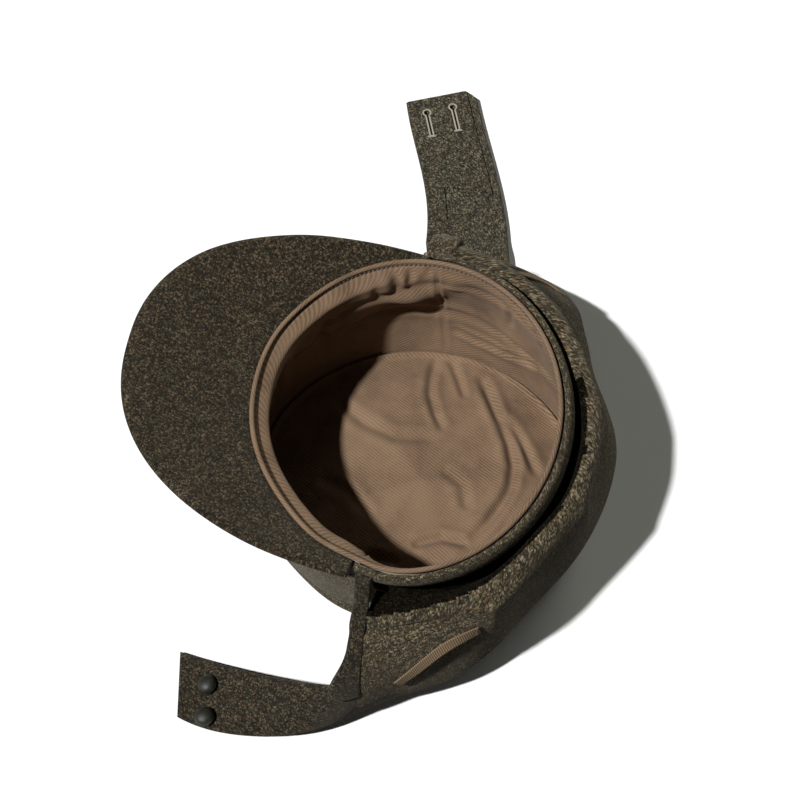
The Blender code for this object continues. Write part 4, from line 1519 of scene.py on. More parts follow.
    def build(self) -> tuple[bpy.types.Object, np.ndarray]:
        """Make the lining's skin.

        Returns:
            The object, and the grid of its wall and tip.
        """
        form = self.form
        angles = np.arange(self.columns) * 360.0 / self.columns
        tip = self.tip_grid(angles)
        wall, heights = self.wall_grid(angles)
        roll = []
        for step in range(1, self.roll_rows + 1):
            turn = math.radians(mix(180.0, -10.0, step / self.roll_rows))
            out = self.roll_offset + self.roll_radius * math.cos(turn)
            roll.append(form.wall(angles, form.rim_height + self.roll_radius * math.sin(turn), out))
        points = np.concatenate([tip, wall, np.stack(roll, axis=1)], axis=1)
        across = np.radians(np.append(angles, 360.0)) * self.girth / MILLIMETRES
        rolled = form.rim_height + np.arange(self.roll_rows) * self.roll_map
        rows = np.concatenate([heights, rolled])
        walls = np.stack(np.meshgrid(across, rows, indexing="ij"), axis=-1)
        discs = np.concatenate([tip[..., :2], tip[:1, :, :2]])
        maps = np.concatenate([discs, walls], axis=1)
        return skin("lining", points[::-1], maps[::-1], ring=True), points

    def dress(self, wardrobe: Wardrobe) -> None:
        """Build and dress the lining, its stiffening and the stitches along its edge."""
        nodes = (
            "lining_tip", "lining_back", "lining_front_left", "lining_front_right", "lining_edge",
        )
        item, points = self.build()
        settle(item, wardrobe.cotton, Slot.COTTON, Body.CAP, nodes)
        declare(item, points, Hold.HUNG)
        form = self.form
        around, levels = np.linspace(0.0, 357.0, 120), np.linspace(*self.canvas_span, 9)
        wide, tall = np.meshgrid(around, levels, indexing="ij")
        grid = form.wall(wide, tall, self.canvas_out)
        canvas = slab("stiffening", grid, self.canvas_half, "cd", ring=True)
        nodes = ("stiffening_left", "stiffening_right")
        settle(canvas, wardrobe.canvas, Slot.CANVAS, Body.CAP, nodes)
        declare(canvas, grid, Hold.STRETCHED)
        sweep = np.linspace(20.0, 340.0, 900)
        path = form.wall(sweep, form.rim_height - 0.0012, -0.0004)
        ups = unit(path * np.array([-0.25, -0.25, 0.0]) + np.array([0.0, 0.0, 0.03]))
        row = stitched("edge_stitching", path, ups, 0.0019, 0.0007, 0.00034)
        settle(row, wardrobe.dark_thread, Slot.THREAD, Body.CAP)


@dataclass
class RimBand:
    """The wool band that binds the rim behind the peak, and its corner tabs."""

    form: CapForm
    end: float = 86.0
    tab_end: float = 94.0
    section: tuple[Spot, ...] = (
        (0.0044, -0.0090), (0.0043, -0.0040), (0.0042, -0.0010), (0.0034, 0.0003), (0.0036, 0.0009),
        (0.0044, 0.0013), (0.0056, 0.0012), (0.0064, 0.0006), (0.0069, -0.0006), (0.0071, -0.0030),
        (0.0070, -0.0060), (0.0066, -0.0088), (0.0056, -0.0094),
    )
    spacing: float = 1.2
    ripples: tuple[Spot, Spot] = ((60.0, 0.0004), (160.0, 0.0002))
    tab_grow: float = 1.10
    tab_lap: float = 0.6
    sewing: tuple[Spot, Spot] = ((0.0042, 0.0016), (0.0062, 0.0012))
    sewing_ends: Spot = (0.6, 0.8)
    stitch: Triple = (0.0020, 0.0010, 0.00032)

    def band(
        self, name: str, start: float, finish: float, grow: float, seed: float
    ) -> bpy.types.Object:
        """A stretch of band between two angles.

        Args:
            name: Name of the object.
            start: First angle.
            finish: Last angle.
            grow: Size of its section, 1 as drawn.
            seed: Start of its unevenness.

        Returns:
            The new object.
        """
        angles = np.linspace(start, finish, max(10, int(abs(finish - start) / self.spacing)))
        middle = np.mean(np.array(self.section), axis=0)
        rings = []
        for offset, height in self.section:
            out = middle[0] + (offset - middle[0]) * grow
            up = middle[1] + (height - middle[1]) * grow
            rings.append(self.form.wall(angles, self.form.rim_height + up, out))
        points = np.stack(rings, axis=1)
        points[..., 2] += rippled(
            points, [Ripple(scale, seed, height) for scale, height in self.ripples]
        )
        return loft(name, points)

    def dress(self, wardrobe: Wardrobe) -> None:
        """Build and dress the band, the tabs and their sewing."""
        form = self.form
        for label, sign in (("right", -1.0), ("left", 1.0)):
            ends = sorted((0.0, sign * self.end))
            band = self.band(f"rim_band_{label}_wool", *ends, 1.0, 2.0 + sign)
            settle(band, wardrobe.wool, Slot.WOOL, Body.CAP, (f"rim_band_{label}",))
            ends = sorted((sign * (self.end - self.tab_lap), sign * self.tab_end))
            tab = self.band(f"corner_tab_{label}_wool", *ends, self.tab_grow, 5.0 + sign)
            settle(tab, wardrobe.wool, Slot.WOOL, Body.CAP, (f"corner_tab_{label}",))
            first, last = self.end + self.sewing_ends[0], self.tab_end - self.sewing_ends[1]
            for number, (out, up) in enumerate(self.sewing):
                sweep = np.linspace(sign * first, sign * last, 30)
                path = form.wall(sweep, form.rim_height + up, out)
                ups = np.tile(np.array([0.0, 0.0, 1.0]), (len(sweep), 1))
                name = f"tab_{label}_stitching_{number + 1}"
                row = stitched(name, path, ups, *self.stitch)
                settle(row, wardrobe.dark_thread, Slot.THREAD, Body.CAP)


@dataclass
class Peak:
    """The wool-covered peak, its under side up, with a turned edge."""

    form: CapForm
    end: float = 95.0
    length: float = 0.1464
    half_width: float = 0.1045
    far_trim: float = 0.0016
    skew: float = 0.0020
    centre: float = 0.008
    squareness: float = 2.3
    slope: float = 18.0
    root_drop: float = 0.0004
    thin: float = 0.00165
    full: float = 0.0029
    root: float = 0.0085
    hem: float = 0.0070
    ripple: Ripple = Ripple(30.0, 4.2, 0.0007)
    ripple_root: float = 0.02
    tuck: float = 0.03
    rib: Triple = (0.0004, 0.003, 0.0018)
    rib_side: float = 0.06
    swell_side: float = 0.1
    seat_lean: float = 1.1
    stack: float = 0.0015
    roll: float = 0.0024

    def middle(self, across: float, out: np.ndarray) -> np.ndarray:
        """Points on the middle of the peak, from its seam to its outer edge."""
        form = self.form
        span = 180.0 - self.end
        stack = form.gap / 2.0 + self.stack
        lean = 2.0 * stack * math.sin(math.radians(self.slope))
        seat = self.roll + form.gap + lean * self.seat_lean
        inner = form.wall(180.0 - mix(-span, span, across), form.rim_height, seat)
        turn = math.radians(mix(-90.0, 90.0, across))
        power = 2.0 / self.squareness
        outer = np.array([
            -form.rim_forward - self.centre - self.length * abs(math.cos(turn)) ** power
            - self.skew * math.sin(2.0 * turn),
            (self.half_width - self.far_trim * (turn > 0.0))
            * math.copysign(abs(math.sin(turn)) ** power, math.sin(turn)),
            form.rim_height,
        ])
        reach = np.linalg.norm(outer - inner)
        points = inner + (outer - inner) * out[:, None]
        points[:, 2] = form.rim_height - stack - self.root_drop
        points[:, 2] += math.tan(math.radians(self.slope)) * reach * out
        return points

    def grid(self) -> np.ndarray:
        """The peak's middle surface as a grid."""
        shares = stations(110, 0.012)
        out = mix(-self.tuck, 1.0, stations(34, 0.045, False, True))
        return np.stack([self.middle(share, out) for share in shares])

    def dress(self, wardrobe: Wardrobe) -> None:
        """Build and dress the peak."""
        points = self.grid()
        fall = lengths_along(points, 1)
        reach = np.maximum(fall[:, -1:], 1e-6)
        sides = np.minimum(np.linspace(0, 1, len(points)), np.linspace(1, 0, len(points)))[:, None]
        swell = ease(fall / self.root) * ease((reach - fall) / self.hem)
        swell = swell * ease(sides / self.swell_side)
        half = mix(self.thin, self.full, swell)
        height, place, width = self.rib
        half = half + height * bell(reach - fall - place, width) * ease(sides / self.rib_side)
        bend = self.ripple.rise(points) * ease(fall / self.ripple_root)
        points = points + np.array([0.0, 0.0, 1.0]) * bend[..., None]
        item = slab("peak_wool", points, half, "abd", maps=points[..., :2])
        nodes = ("peak_board", "peak_under_cover", "peak_upper_cover")
        settle(item, wardrobe.peak_wool, Slot.WOOL, Body.CAP, nodes)


@dataclass
class Flap:
    """The fold-down ear and neck flap: standing part, hanging part, hems and tapes."""

    form: CapForm
    front: float = 93.0
    split: float = 32.5
    step: float = 1.0
    fold_rows: int = 30
    skirt_rows: int = 46
    wave: float = 0.0008
    hem_half: float = 0.0019
    hem_lift: float = 0.0012
    right_hem_end: float = 0.60
    left_hem_end: float = 0.95
    right_hem_bend: tuple[float, ...] = (
        0.0, -0.6, -1.2, -1.8, -2.1, -2.2, -2.1, -1.6, -0.8, 0.0, 0.5, 0.2, -1.6,
    )
    left_hem_bend: tuple[float, ...] = (
        4.5, 4.0, 3.0, 1.5, 0.6, 0.0, 0.0, -0.1, -0.5, -1.3, -2.5, -3.8, -4.9,
    )
    right_hem_set: tuple[Spot, Spot] = ((0.0020, -0.0090), (-0.0085, 0.0010))
    left_hem_set: tuple[Spot, Spot] = ((0.0058, -0.0070), (0.0015, 0.0012))
    bend_lead: float = 1.5
    hinge: float = 0.004
    gusset: tuple[Spot, Spot] = ((9.0, 58.0), (-0.04, 0.72))
    gusset_half: float = 0.0007
    gusset_taper: float = 14.0
    # The two numbers below bound the painted shade on the inner face of the standing part.
    ridge_inside: float = 0.0012
    painted_shade_end: float = 24.0
    tape_width: float = 0.0062
    tape_half: float = 0.0005
    tack_size: Triple = (0.0008, 0.00024, 0.0002)
    right_tape: tuple[Spot, Spot] = ((-78.5, 0.60), (-55.5, 0.20))
    left_tape: tuple[Spot, Spot] = ((80.0, 0.90), (58.0, 0.66))
    right_tape_set: Triple = (0.15, 0.20, 0.0030)
    left_tape_set: Triple = (0.0, 0.0, 0.0006)
    fold_count: int = field(init=False)
    angles: np.ndarray = field(init=False)
    points: np.ndarray = field(init=False)
    normals: np.ndarray = field(init=False)

    def __post_init__(self) -> None:
        """Lay out the whole flap once, so that its pieces meet exactly."""
        places = (self.split, self.form.ear_front, self.front)
        marks = {0.0} | {sign * place for sign in (-1.0, 1.0) for place in places}
        ends = {sign * (self.front - gap) for sign in (-1, 1) for gap in (0.05, 0.2, 0.5, 1.0)}
        even = {float(v) for v in np.arange(-92.0, 92.5, self.step)}
        marks |= {v for v in even | ends if all(abs(v - m) > 0.3 or v == m for m in marks)} | ends
        self.angles = np.array(sorted(marks))
        fold = stations(self.fold_rows, 0.03, True, False)
        skirt = stations(self.skirt_rows, 0.035, False, True)
        grid = np.stack([self.form.profile(angle, fold, skirt[1:]) for angle in self.angles])
        self.fold_count = len(fold)
        normals = grid_normals(grid)
        low = ease((np.arange(grid.shape[1]) - 4) / 14.0)[None, :]
        swing = (waves(grid, 24.0, 9.3) + 0.4 * waves(grid, 62.0, 3.3)) * self.wave * low
        self.points = grid + normals * swing[..., None]
        self.normals = grid_normals(self.points)

    def cut(self, low: float, high: float, rows: slice) -> tuple[np.ndarray, np.ndarray]:
        """Points and normals between two angles and over some rows."""
        keep = (self.angles >= low - 1e-6) & (self.angles <= high + 1e-6)
        return self.points[keep][:, rows], self.normals[keep][:, rows]

    def stretch(
        self, name: str, low: float, high: float, rows: slice, rounded: str
    ) -> tuple[bpy.types.Object, np.ndarray]:
        """One stretch of the flap as a cloth piece, with its grid."""
        points, normals = self.cut(low, high, rows)
        return slab(name, points, self.form.flap_half, rounded, normals=normals), points

    def hem(self, name: str, side: float, end: float) -> tuple[bpy.types.Object, np.ndarray]:
        """The doubled strip from a corner tab down the front edge of an ear flap."""
        form = self.form
        bend = self.right_hem_bend if side < 0.0 else self.left_hem_bend
        valley, crest = self.right_hem_set if side < 0.0 else self.left_hem_set
        falls = np.linspace(0.0, end, 9)
        even = stations(60, 0.02)
        rows = []
        for share in stations(10, 0.16):
            angle = mix(form.ear_front - 0.9, self.front + 0.4, share)
            turns = [side * (angle + move * share) for move in bend]
            ridge_out, ridge_drop = form.drape(turns[2])[:2]
            knots = [
                form.wall(turns[0], form.rim_height - 0.0015, 0.0072),
                form.rim(turns[1], valley[0], form.rim_height + valley[1]),
                form.rim(turns[2], ridge_out + crest[0], form.rim_height - ridge_drop + crest[1]),
                form.fold(turns[3], 6) + form.outward(turns[3], 0.03) * self.hem_lift * 2.0,
            ]
            for turn, along in zip(turns[4:], falls):
                out = form.outward(turn, max(0.02, along))
                knots.append(form.skirt(turn, along) + out * self.hem_lift)
            line = np.array(knots)
            rows.append(through(line, even, (0, len(line) - 1)))
        points = np.stack(rows)
        points = points + waves(points, 50.0, 6.6)[..., None] * 0.0003
        return slab(name, points, self.hem_half), points

    def tape(
        self, name: str, ends: tuple[Spot, Spot], lie: Triple
    ) -> tuple[bpy.types.Object, list]:
        """A hanging tape sewn down at both ends.

        Args:
            name: Name of the object.
            ends: Angle and place down the flap of both ends.
            lie: How far it arches up the flap, how much it leans off it and how far it stands off.

        Returns:
            The object, and the places of its end stitches.
        """
        form = self.form
        first, second = ends

        def hump(along: float) -> float:
            """0 at both ends of the tape and 1 at its middle."""
            return math.sin(math.pi * min(1.0, max(0.0, along)))

        def spot(along: float) -> Spot:
            """Angle and place down the flap at a share of the tape."""
            fall = mix(first[1], second[1], along) - lie[0] * hump(along)
            return mix(first[0], second[0], along), fall

        def centre(along: float) -> np.ndarray:
            """Middle of the tape."""
            angle, fall = spot(along)
            stand = form.flap_half + form.gap * 2.0 + self.tape_half + lie[2] * hump(along)
            return form.skirt(angle, fall) + form.outward(angle, fall) * stand

        rows, places = [], []
        shares = stations(40, 0.012)
        width = stations(8, 0.08) - 0.5
        for along in shares:
            run = centre(along + 0.01) - centre(along - 0.01)
            out = form.outward(*spot(along))
            side = unit(np.cross(out, run))
            side = side if side[2] < 0.0 else -side
            tilt = lie[1] * hump(along) ** 0.7
            side = unit(side + out * tilt)
            reach = (width[:, None] + 0.5 * tilt / (1.0 + tilt)) * self.tape_width
            rows.append(centre(along) + side * reach)
            places.append((out, side, unit(run)))
        points = np.stack(rows)
        sewn = [(points[index].mean(axis=0), *places[index]) for index in (6, len(points) - 7)]
        return slab(name, points, self.tape_half), sewn

    def dress(self, wardrobe: Wardrobe) -> None:
        """Build and dress the flap."""
        form = self.form
        top = slice(0, self.fold_count)
        below = slice(self.fold_count - 1, None)
        item, points = self.stretch("flap_fold", -form.ear_front, self.front, top, "abc")
        nodes = ("flap_fold_right", "flap_fold_back", "flap_fold_left")
        settle(item, wardrobe.wool, Slot.WOOL, Body.CAP, nodes)
        # Painted shade: the inner face of the standing part takes the near-black wool.
        retone(item, wardrobe.painted_shade_wool, self.painted_shade_faces)
        declare(item, points, Hold.FOLDED)
        front, ear, neck = form.ear_front, form.ear_rear, form.neck_half
        split, lead = self.split, self.bend_lead
        right, left = (
            [f"{label}_{part}_{ply}" for part in ("ear_flap", "flap_corner") for ply in PLIES]
            for label in ("right", "left")
        )
        middle = [f"neck_flap_{ply}" for ply in PLIES]
        stretches = (
            # The right flap takes the brighter wool: painted light.
            ("right_flap", wardrobe.painted_light_flap_wool, (-front, -split), Body.RIGHT_EAR,
             (-split - lead, -ear), right),
            ("back_flap_right", wardrobe.wool, (-split, 0.0), Body.NECK,
             (-split + lead, -neck), middle),
            ("back_flap_left", wardrobe.wool, (0.0, split), Body.NECK,
             (split - lead, neck), ()),
            ("left_flap", wardrobe.wool, (split, front), Body.LEFT_EAR,
             (split + lead, ear), left),
        )
        for name, finish, span, body, bend, nodes in stretches:
            item, points = self.stretch(name, *span, below, "d")
            towards = (body, *(self.mark(angle) for angle in bend))
            settle(item, finish, Slot.WOOL, Body.CAP, nodes, towards)
            declare(item, points, Hold.HUNG)
        for label, side, end, body in (
            ("right", -1.0, self.right_hem_end, Body.RIGHT_EAR),
            ("left", 1.0, self.left_hem_end, Body.LEFT_EAR),
        ):
            gusset = self.corner(side)
            item = slab(f"{label}_gusset", gusset, self.gusset_half, "abcd")
            settle(item, wardrobe.wool, Slot.WOOL, Body.CAP)
            declare(item, gusset, Hold.HUNG)
            item, points = self.hem(f"{label}_hem_wool", side, end)
            # Painted shade: the right hem takes the darker strap wool.
            finish = wardrobe.right_strap_wool if side < 0.0 else wardrobe.wool
            bend, rise = self.mark(side * 90.0), np.array([0.0, 0.0, self.hinge])
            towards = (body, bend + rise, bend - rise)
            settle(item, finish, Slot.WOOL, Body.CAP, (f"{label}_flap_hem",), towards)
            declare(item, points, Hold.FOLDED)
        for label, ends, lie, body in (
            ("right", self.right_tape, self.right_tape_set, Body.RIGHT_EAR),
            ("left", self.left_tape, self.left_tape_set, Body.LEFT_EAR),
        ):
            item, sewn = self.tape(f"{label}_tape", ends, lie)
            settle(item, wardrobe.tape, Slot.COTTON, body, (f"{label}_tape_loop",))
            self.tack(f"{label}_tape_stitching", sewn, wardrobe, body)

    def mark(self, angle: float) -> np.ndarray:
        """A point on the line of the creases."""
        form = self.form
        return form.rim(angle, form.crease_out, form.rim_height - form.crease_drop)

    def corner(self, side: float) -> np.ndarray:
        """Grid of the gusset behind the flap, where one crease ends and the next begins."""
        form = self.form
        (start, finish), (high, low) = self.gusset
        inset = form.flap_half + self.gusset_half + form.gap * 2.0
        rows = []
        for angle in np.linspace(start, finish, 50):
            share = ease((angle - start) / self.gusset_taper)
            share = share * ease((finish - angle) / self.gusset_taper)
            falls = np.linspace(high, mix(0.06, low, share), 20)
            rows.append([
                form.skirt(angle * side, fall) - form.outward(angle * side, max(0.02, fall)) * inset
                for fall in falls
            ])
        return np.array(rows)

    def painted_shade_faces(self, points: np.ndarray) -> np.ndarray:
        """Which faces of the standing part, inside its ridge, get the painted shade."""
        angles, outs = self.form.polar(points)
        table = np.array(self.form.drape_table)
        ridge = np.interp(angles, table[:, 0], table[:, 1])
        return (outs < ridge - self.ridge_inside) & (angles < self.painted_shade_end)

    def tack(self, name: str, sewn: list, wardrobe: Wardrobe, body: Body) -> None:
        """Sew down a tape's ends with small crossed stitches."""
        stand = self.tape_half + 0.0001
        centres, runs, ups = [], [], []
        for middle, out, side, run in sewn:
            for slant in (-1.0, 1.0):
                for place in np.linspace(-0.36, 0.36, 5):
                    centres.append(middle + side * place * self.tape_width + out * stand)
                    runs.append(side + run * 0.5 * slant)
                    ups.append(out)
        lines = (np.array(values) for values in (centres, runs, ups))
        row = beads(name, *lines, self.tack_size)
        settle(row, wardrobe.dark_thread, Slot.THREAD, body)


@dataclass
class RightStrap:
    """The right strap with its two buttons, upright at its root and flat at its end."""

    form: CapForm
    root: float = 0.47
    lie: float = 0.0030
    end: tuple[Spot, Spot] = ((-0.1094, -0.1250), (-0.1008, -0.1630))
    leaves: Triple = (-0.0621, -0.0134, -0.0205)
    arrives: Triple = (-0.0939, 0.0125, 0.0)
    bow: float = 0.0616
    wave: float = 0.0012
    button_radius: float = 0.0056
    button_height: float = 0.0038
    shank_radius: float = 0.0016
    shank_height: float = 0.0010
    button_places: tuple[Spot, Spot] = ((0.82, 0.38), (0.83, 0.86))
    button_edge: tuple[Spot, ...] = (
        (0.0, -0.16), (0.80, -0.16), (0.94, -0.08), (1.0, 0.02), (0.985, 0.16), (0.94, 0.24),
    )

    def place(self, along: float, across: float) -> np.ndarray:
        """A point on the middle of the strap."""
        start = self.form.skirt(-self.form.ear_front, float(mix(self.root, 1.0, across)))
        upper, lower = (np.array(corner) for corner in self.end)
        finish = np.array([*mix(upper, lower, across), self.lie])
        leaves, arrives = np.array(self.leaves), np.array(self.arrives)
        leaves[2] *= 1.0 - across
        leaves[1] -= self.bow * across
        arrives[1] += self.bow * 0.3 * across
        start[2] = max(start[2], self.lie)
        square, cube = along * along, along ** 3
        return (
            start * (2.0 * cube - 3.0 * square + 1.0)
            + leaves * (cube - 2.0 * square + along)
            + finish * (3.0 * square - 2.0 * cube)
            + arrives * (cube - square)
        )

    def up(self, along: float, across: float) -> np.ndarray:
        """Upward direction of the strap."""
        run = self.place(along + 0.01, across) - self.place(along - 0.01, across)
        side = self.place(along, across + 0.01) - self.place(along, across - 0.01)
        return unit(np.cross(run, side))

    def dress(self, wardrobe: Wardrobe) -> None:
        """Build and dress the strap and its buttons."""
        form = self.form
        shares, widths = stations(54, 0.018, False, True), stations(22, 0.045)
        points = laid(self.place, shares, widths)
        free = ease((shares - 0.06) / 0.2)[:, None] * ease((points[..., 2] - 0.0036) / 0.008)
        swing = waves(points, 40.0, 2.7) * self.wave * free
        points = points + grid_normals(points) * swing[..., None]
        item = slab("right_strap_wool", points, form.flap_half, "bcd")
        root = form.skirt(-form.ear_front, self.root)
        ahead = self.place(0.16, 0.4)
        settle(item, wardrobe.right_strap_wool, Slot.WOOL, Body.RIGHT_EAR,
               ("right_strap_facing", "right_strap_shell"), (Body.RIGHT_STRAP, root, ahead))
        declare(item, points, Hold.LAID)
        for label, (along, across) in zip(("upper", "lower"), self.button_places):
            self.button(label, self.place(along, across), self.up(along, across), wardrobe)

    def button(self, label: str, middle: np.ndarray, up: np.ndarray, wardrobe: Wardrobe) -> None:
        """Make one domed button and the thread that holds it."""
        foot = middle + up * (self.form.flap_half + self.form.gap)
        lift = self.shank_height + self.form.gap + self.button_height * 0.16
        radius, height = self.button_radius, self.button_height
        profile = [(radius * wide, height * tall) for wide, tall in self.button_edge]
        for step in range(1, 13):
            turn = math.radians(90.0 * step / 12.0)
            tall = 0.27 + 0.73 * math.sin(turn)
            profile.append((radius * 0.92 * math.cos(turn), height * tall))
        dome = lathe(f"{label}_button_dome", profile, foot + up * lift, up, 40)
        settle(dome, wardrobe.button, Slot.BUTTON, Body.RIGHT_STRAP, (f"{label}_button",))
        centres, runs, ups = [], [], []
        for turn in np.arange(10) * math.pi / 5.0:
            side = unit(np.cross(up, np.array([1.0, 0.2, 0.1])))
            spoke = side * math.cos(turn) + np.cross(up, side) * math.sin(turn)
            centres.append(foot + up * self.shank_height * 0.5 + spoke * self.shank_radius * 0.62)
            runs.append(up + np.cross(up, spoke) * 0.5)
            ups.append(spoke)
        shank = beads(f"{label}_button_shank", np.array(centres), np.array(runs), np.array(ups),
                      (self.shank_height * 0.62, 0.00052, 0.00052))
        nodes = (f"{label}_button_thread",)
        settle(shank, wardrobe.dark_thread, Slot.THREAD, Body.RIGHT_STRAP, nodes)


@dataclass
class LeftStrap:
    """The left strap, flat on the floor, with a facing patch and two keyhole buttonholes."""

    form: CapForm
    rear: float = 72.5
    lie: float = 0.0030
    end: tuple[Spot, Spot] = ((-0.0284, 0.2942), (-0.0690, 0.2742))
    bow: float = 0.0046
    corner: float = 0.05
    patch_start: float = 0.38
    patch_half: float = 0.0006
    hole_length: float = 0.020
    slit: float = 0.0008
    eyelet: float = 0.0017
    thread: float = 0.00045
    hole_places: tuple[Spot, Spot] = ((0.83, 0.37), (0.81, 0.74))

    def place(self, along: float, across: float) -> np.ndarray:
        """A point on the middle of the strap; across runs from its rear to its front edge."""
        angle = float(mix(self.rear, self.form.ear_front, across))
        start = self.form.skirt(angle, 1.0)
        rear, front = (np.array(corner) for corner in self.end)
        finish = np.array([*mix(rear, front, across), self.lie])
        trim = 1.0 - self.corner * float(ease((0.16 - across) / 0.16)) * along
        reach = along * trim
        point = mix(start, finish, reach)
        point[2] = mix(start[2], self.lie, float(ease(reach / 0.15)))
        point[0] += self.bow * math.sin(math.pi * reach) * (1.0 - reach) * 1.6
        return point

    def frame_at(self, along: float, across: float) -> tuple[np.ndarray, np.ndarray, np.ndarray]:
        """Middle, run and side directions of a buttonhole."""
        run = self.place(along + 0.03, across) - self.place(along - 0.03, across)
        run = unit(run * np.array([1.0, 1.0, 0.0]))
        return self.place(along, across), run, np.cross(np.array([0.0, 0.0, 1.0]), run)

    def keyhole(self, grow: float) -> list[Spot]:
        """Outline of a buttonhole, grown from the cut, from the eyelet round to the bar."""
        wide, slim = self.eyelet + grow, self.slit / 2.0 + grow
        far = self.hole_length / 2.0 - self.eyelet
        meet = math.asin(min(0.99, slim / wide))
        path = []
        for step in range(19):
            turn = mix(-math.pi + meet, math.pi - meet, step / 18.0)
            path.append((far + wide * math.cos(turn), wide * math.sin(turn)))
        for step in range(1, 25):
            path.append((mix(far - wide * math.cos(meet), -far - self.eyelet, step / 24.0), slim))
        for step in range(25):
            path.append((mix(-far - self.eyelet, far - wide * math.cos(meet), step / 24.0), -slim))
        return path[:-1]

    def cutter(self, along: float, across: float) -> bpy.types.Object:
        """A keyhole prism through the strap and its patch."""
        middle, run, side = self.frame_at(along, across)
        outline = self.keyhole(0.0)
        rings = []
        for height in (-0.01, 0.02):
            level = middle + np.array([0.0, 0.0, height])
            rings.append([level + run * a + side * b for a, b in outline])
        return face_outwards(loft("keyhole_cutter", np.array(rings)))

    def sew(self, label: str, along: float, across: float, wardrobe: Wardrobe) -> None:
        """Stitch round one buttonhole and close its inner end with a bar."""
        middle, run, side = self.frame_at(along, across)
        top = self.lie + self.form.flap_half + self.form.gap + self.patch_half * 2.0
        centres, runs = [], []
        path = np.array(self.keyhole(self.thread * 1.5))
        reach = running(path)
        at = np.arange(0.0, reach[-1], 0.00082)
        spots = np.stack([np.interp(at, reach, path[:, axis]) for axis in (0, 1)], axis=-1)
        heading = unit(np.gradient(spots, axis=0))
        for (a, b), (da, db) in zip(spots, heading):
            centres.append(middle + run * a + side * b)
            runs.append(run * (da - 0.9 * db) + side * (db + 0.9 * da))
        back = -self.hole_length / 2.0 - 0.0004
        for place in np.linspace(-0.0021, 0.0021, 7):
            centres.append(middle + run * back + side * place)
            runs.append(run + side * 0.25)
        points = np.array(centres)
        points[:, 2] = top + self.thread * 0.5
        ups = np.tile(np.array([0.0, 0.0, 1.0]), (len(points), 1))
        size = (0.00078, self.thread * 0.86, self.thread)
        row = beads(f"{label}_buttonhole_thread", points, np.array(runs), ups, size)
        nodes = (f"{label}_buttonhole_stitching",)
        settle(row, wardrobe.pale_thread, Slot.THREAD, Body.LEFT_STRAP, nodes)

    def dress(self, wardrobe: Wardrobe) -> None:
        """Build and dress the strap, its hem fold, patch and buttonholes."""
        form = self.form
        shares, widths = stations(60, 0.016, False, True), stations(26, 0.04)
        points = laid(self.place, shares, widths)
        item = slab("left_strap_wool", points, form.flap_half, "bcd")
        patch_along = mix(self.patch_start, 0.985, stations(44, 0.012))
        patch_across = mix(0.13, 0.985, stations(26, 0.02))
        above = np.array([0.0, 0.0, form.flap_half + form.gap + self.patch_half])
        layer = laid(self.place, patch_along, patch_across) + above
        patch = slab("buttonhole_facing", layer, self.patch_half)
        for along, across in self.hole_places:
            tool = self.cutter(along, across)
            cut_out(item, tool)
            cut_out(patch, tool)
            bpy.data.objects.remove(tool, do_unlink=True)
        root, ahead = self.place(0.0, 0.5), self.place(0.12, 0.5)
        settle(item, wardrobe.left_strap_wool, Slot.WOOL, Body.LEFT_EAR,
               ("left_strap_facing", "left_strap_shell"), (Body.LEFT_STRAP, root, ahead))
        declare(item, points, Hold.LAID)
        settle(patch, wardrobe.left_strap_wool, Slot.WOOL, Body.LEFT_STRAP, ("buttonhole_patch",))
        declare(patch, layer, Hold.LAID)
        hem_along = mix(0.15, self.patch_start - 0.004, stations(24, 0.02))
        hem_across = mix(0.74, 0.985, stations(8, 0.06))
        strip = laid(self.place, hem_along, hem_across) + above
        hem = slab("left_strap_hem", strip, self.patch_half)
        settle(hem, wardrobe.left_strap_wool, Slot.WOOL, Body.LEFT_STRAP)
        declare(hem, strip, Hold.FOLDED)
        for label, (along, across) in zip(("rear", "front"), self.hole_places):
            self.sew(label, along, across, wardrobe)


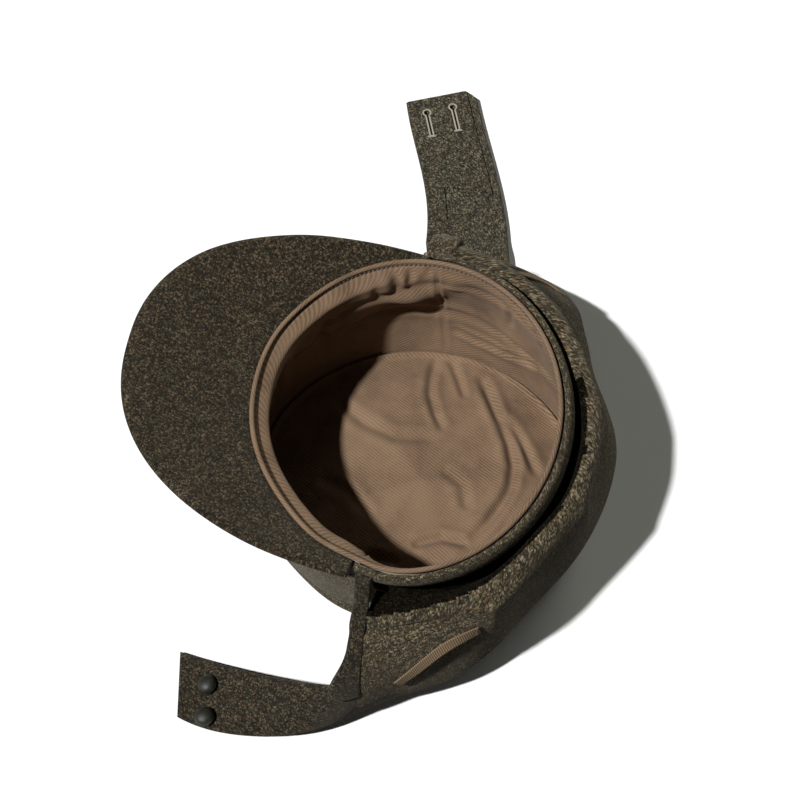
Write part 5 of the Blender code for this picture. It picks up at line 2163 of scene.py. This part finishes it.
@dataclass
class Studio:
    """Floor, light and camera."""

    azimuth: float = 12.5
    elevation: float = 60.0
    distance: float = 1.3
    lens: float = 107.6
    target: Triple = (-0.009, 0.0, 0.096)
    shift: Spot = (-5.0 / 800.0, 12.0 / 800.0)
    key: Triple = (-0.475, -0.30, 0.83)
    key_strength: float = 4.5
    key_angle: float = 3.0
    key_colour: Colour = (1.0, 1.0, 1.0)
    back: Triple = (0.50, 0.82, 0.24)
    back_strength: float = 1.25
    back_angle: float = 50.0
    back_colour: Colour = (0.99, 1.0, 0.88)
    fill: float = 0.03
    fill_colour: Colour = (1.0, 1.0, 0.97)
    floor_half: float = 6.0

    def axes(self) -> tuple[Vector, Vector, Vector]:
        """Right, away and back directions of the photograph's view."""
        turn, tilt = math.radians(self.azimuth), math.radians(self.elevation)
        right = Vector((math.cos(turn), math.sin(turn), 0.0))
        away = Vector((-math.sin(turn), math.cos(turn), 0.0))
        back = -away * math.cos(tilt) + Vector((0.0, 0.0, math.sin(tilt)))
        return right, away, back

    def floor(self, wardrobe: Wardrobe) -> None:
        """Lay the floor."""
        steps = np.linspace(-self.floor_half, self.floor_half, 13)
        wide, deep = np.meshgrid(steps, steps, indexing="ij")
        points = np.stack([wide, deep, np.full_like(wide, -0.0002)], axis=-1)
        item = skin("floor", points, points[..., :2])
        item.data.materials.append(wardrobe.floor)
        item.visible_diffuse = False

    def lamp(self, name: str, side: Triple, strength: float, angle: float, colour: Colour) -> None:
        """Hang a lamp on the side given as right, away and up."""
        right, away, _ = self.axes()
        towards = right * side[0] + away * side[1] + Vector((0.0, 0.0, side[2]))
        lamp = bpy.data.lights.new(name, "SUN")
        lamp.energy = strength
        lamp.angle = math.radians(angle)
        lamp.color = colour
        holder = bpy.data.objects.new(name, lamp)
        holder.rotation_euler = towards.to_track_quat("Z", "Y").to_euler()
        bpy.context.scene.collection.objects.link(holder)

    def light(self) -> None:
        """Set up the key light, a broad light from behind and a low even fill."""
        self.lamp("key", self.key, self.key_strength, self.key_angle, self.key_colour)
        self.lamp("back", self.back, self.back_strength, self.back_angle, self.back_colour)
        world = bpy.data.worlds.new("studio")
        world.use_nodes = True
        sky = world.node_tree.nodes["Background"]
        sky.inputs["Color"].default_value = (*self.fill_colour, 1.0)
        sky.inputs["Strength"].default_value = self.fill
        bpy.context.scene.world = world
        bpy.context.scene.view_settings.view_transform = "Standard"

    def camera(self) -> None:
        """Place the camera where the photograph was taken."""
        _, _, back = self.axes()
        data = bpy.data.cameras.new("photo")
        data.sensor_width = 36.0
        data.lens = self.lens
        data.shift_x, data.shift_y = self.shift
        holder = bpy.data.objects.new("photo", data)
        holder.location = Vector(self.target) + back * self.distance
        holder.rotation_euler = back.to_track_quat("Z", "Y").to_euler()
        bpy.context.scene.collection.objects.link(holder)
        bpy.context.scene.camera = holder

    def dress(self, wardrobe: Wardrobe) -> None:
        """Set up the whole studio."""
        self.camera()
        self.light()
        self.floor(wardrobe)


def main() -> None:
    """Build every sub-assembly in order and note the size of the result."""
    logging.basicConfig(level=logging.INFO, format="%(name)s: %(message)s")
    wardrobe = Wardrobe()
    form = CapForm()
    Studio().dress(wardrobe)
    for kind in (Crown, Lining, RimBand, Peak, Flap, RightStrap, LeftStrap):
        LOG.info("building %s", kind.__name__)
        kind(form).dress(wardrobe)


if __name__ == "__main__":
    main()
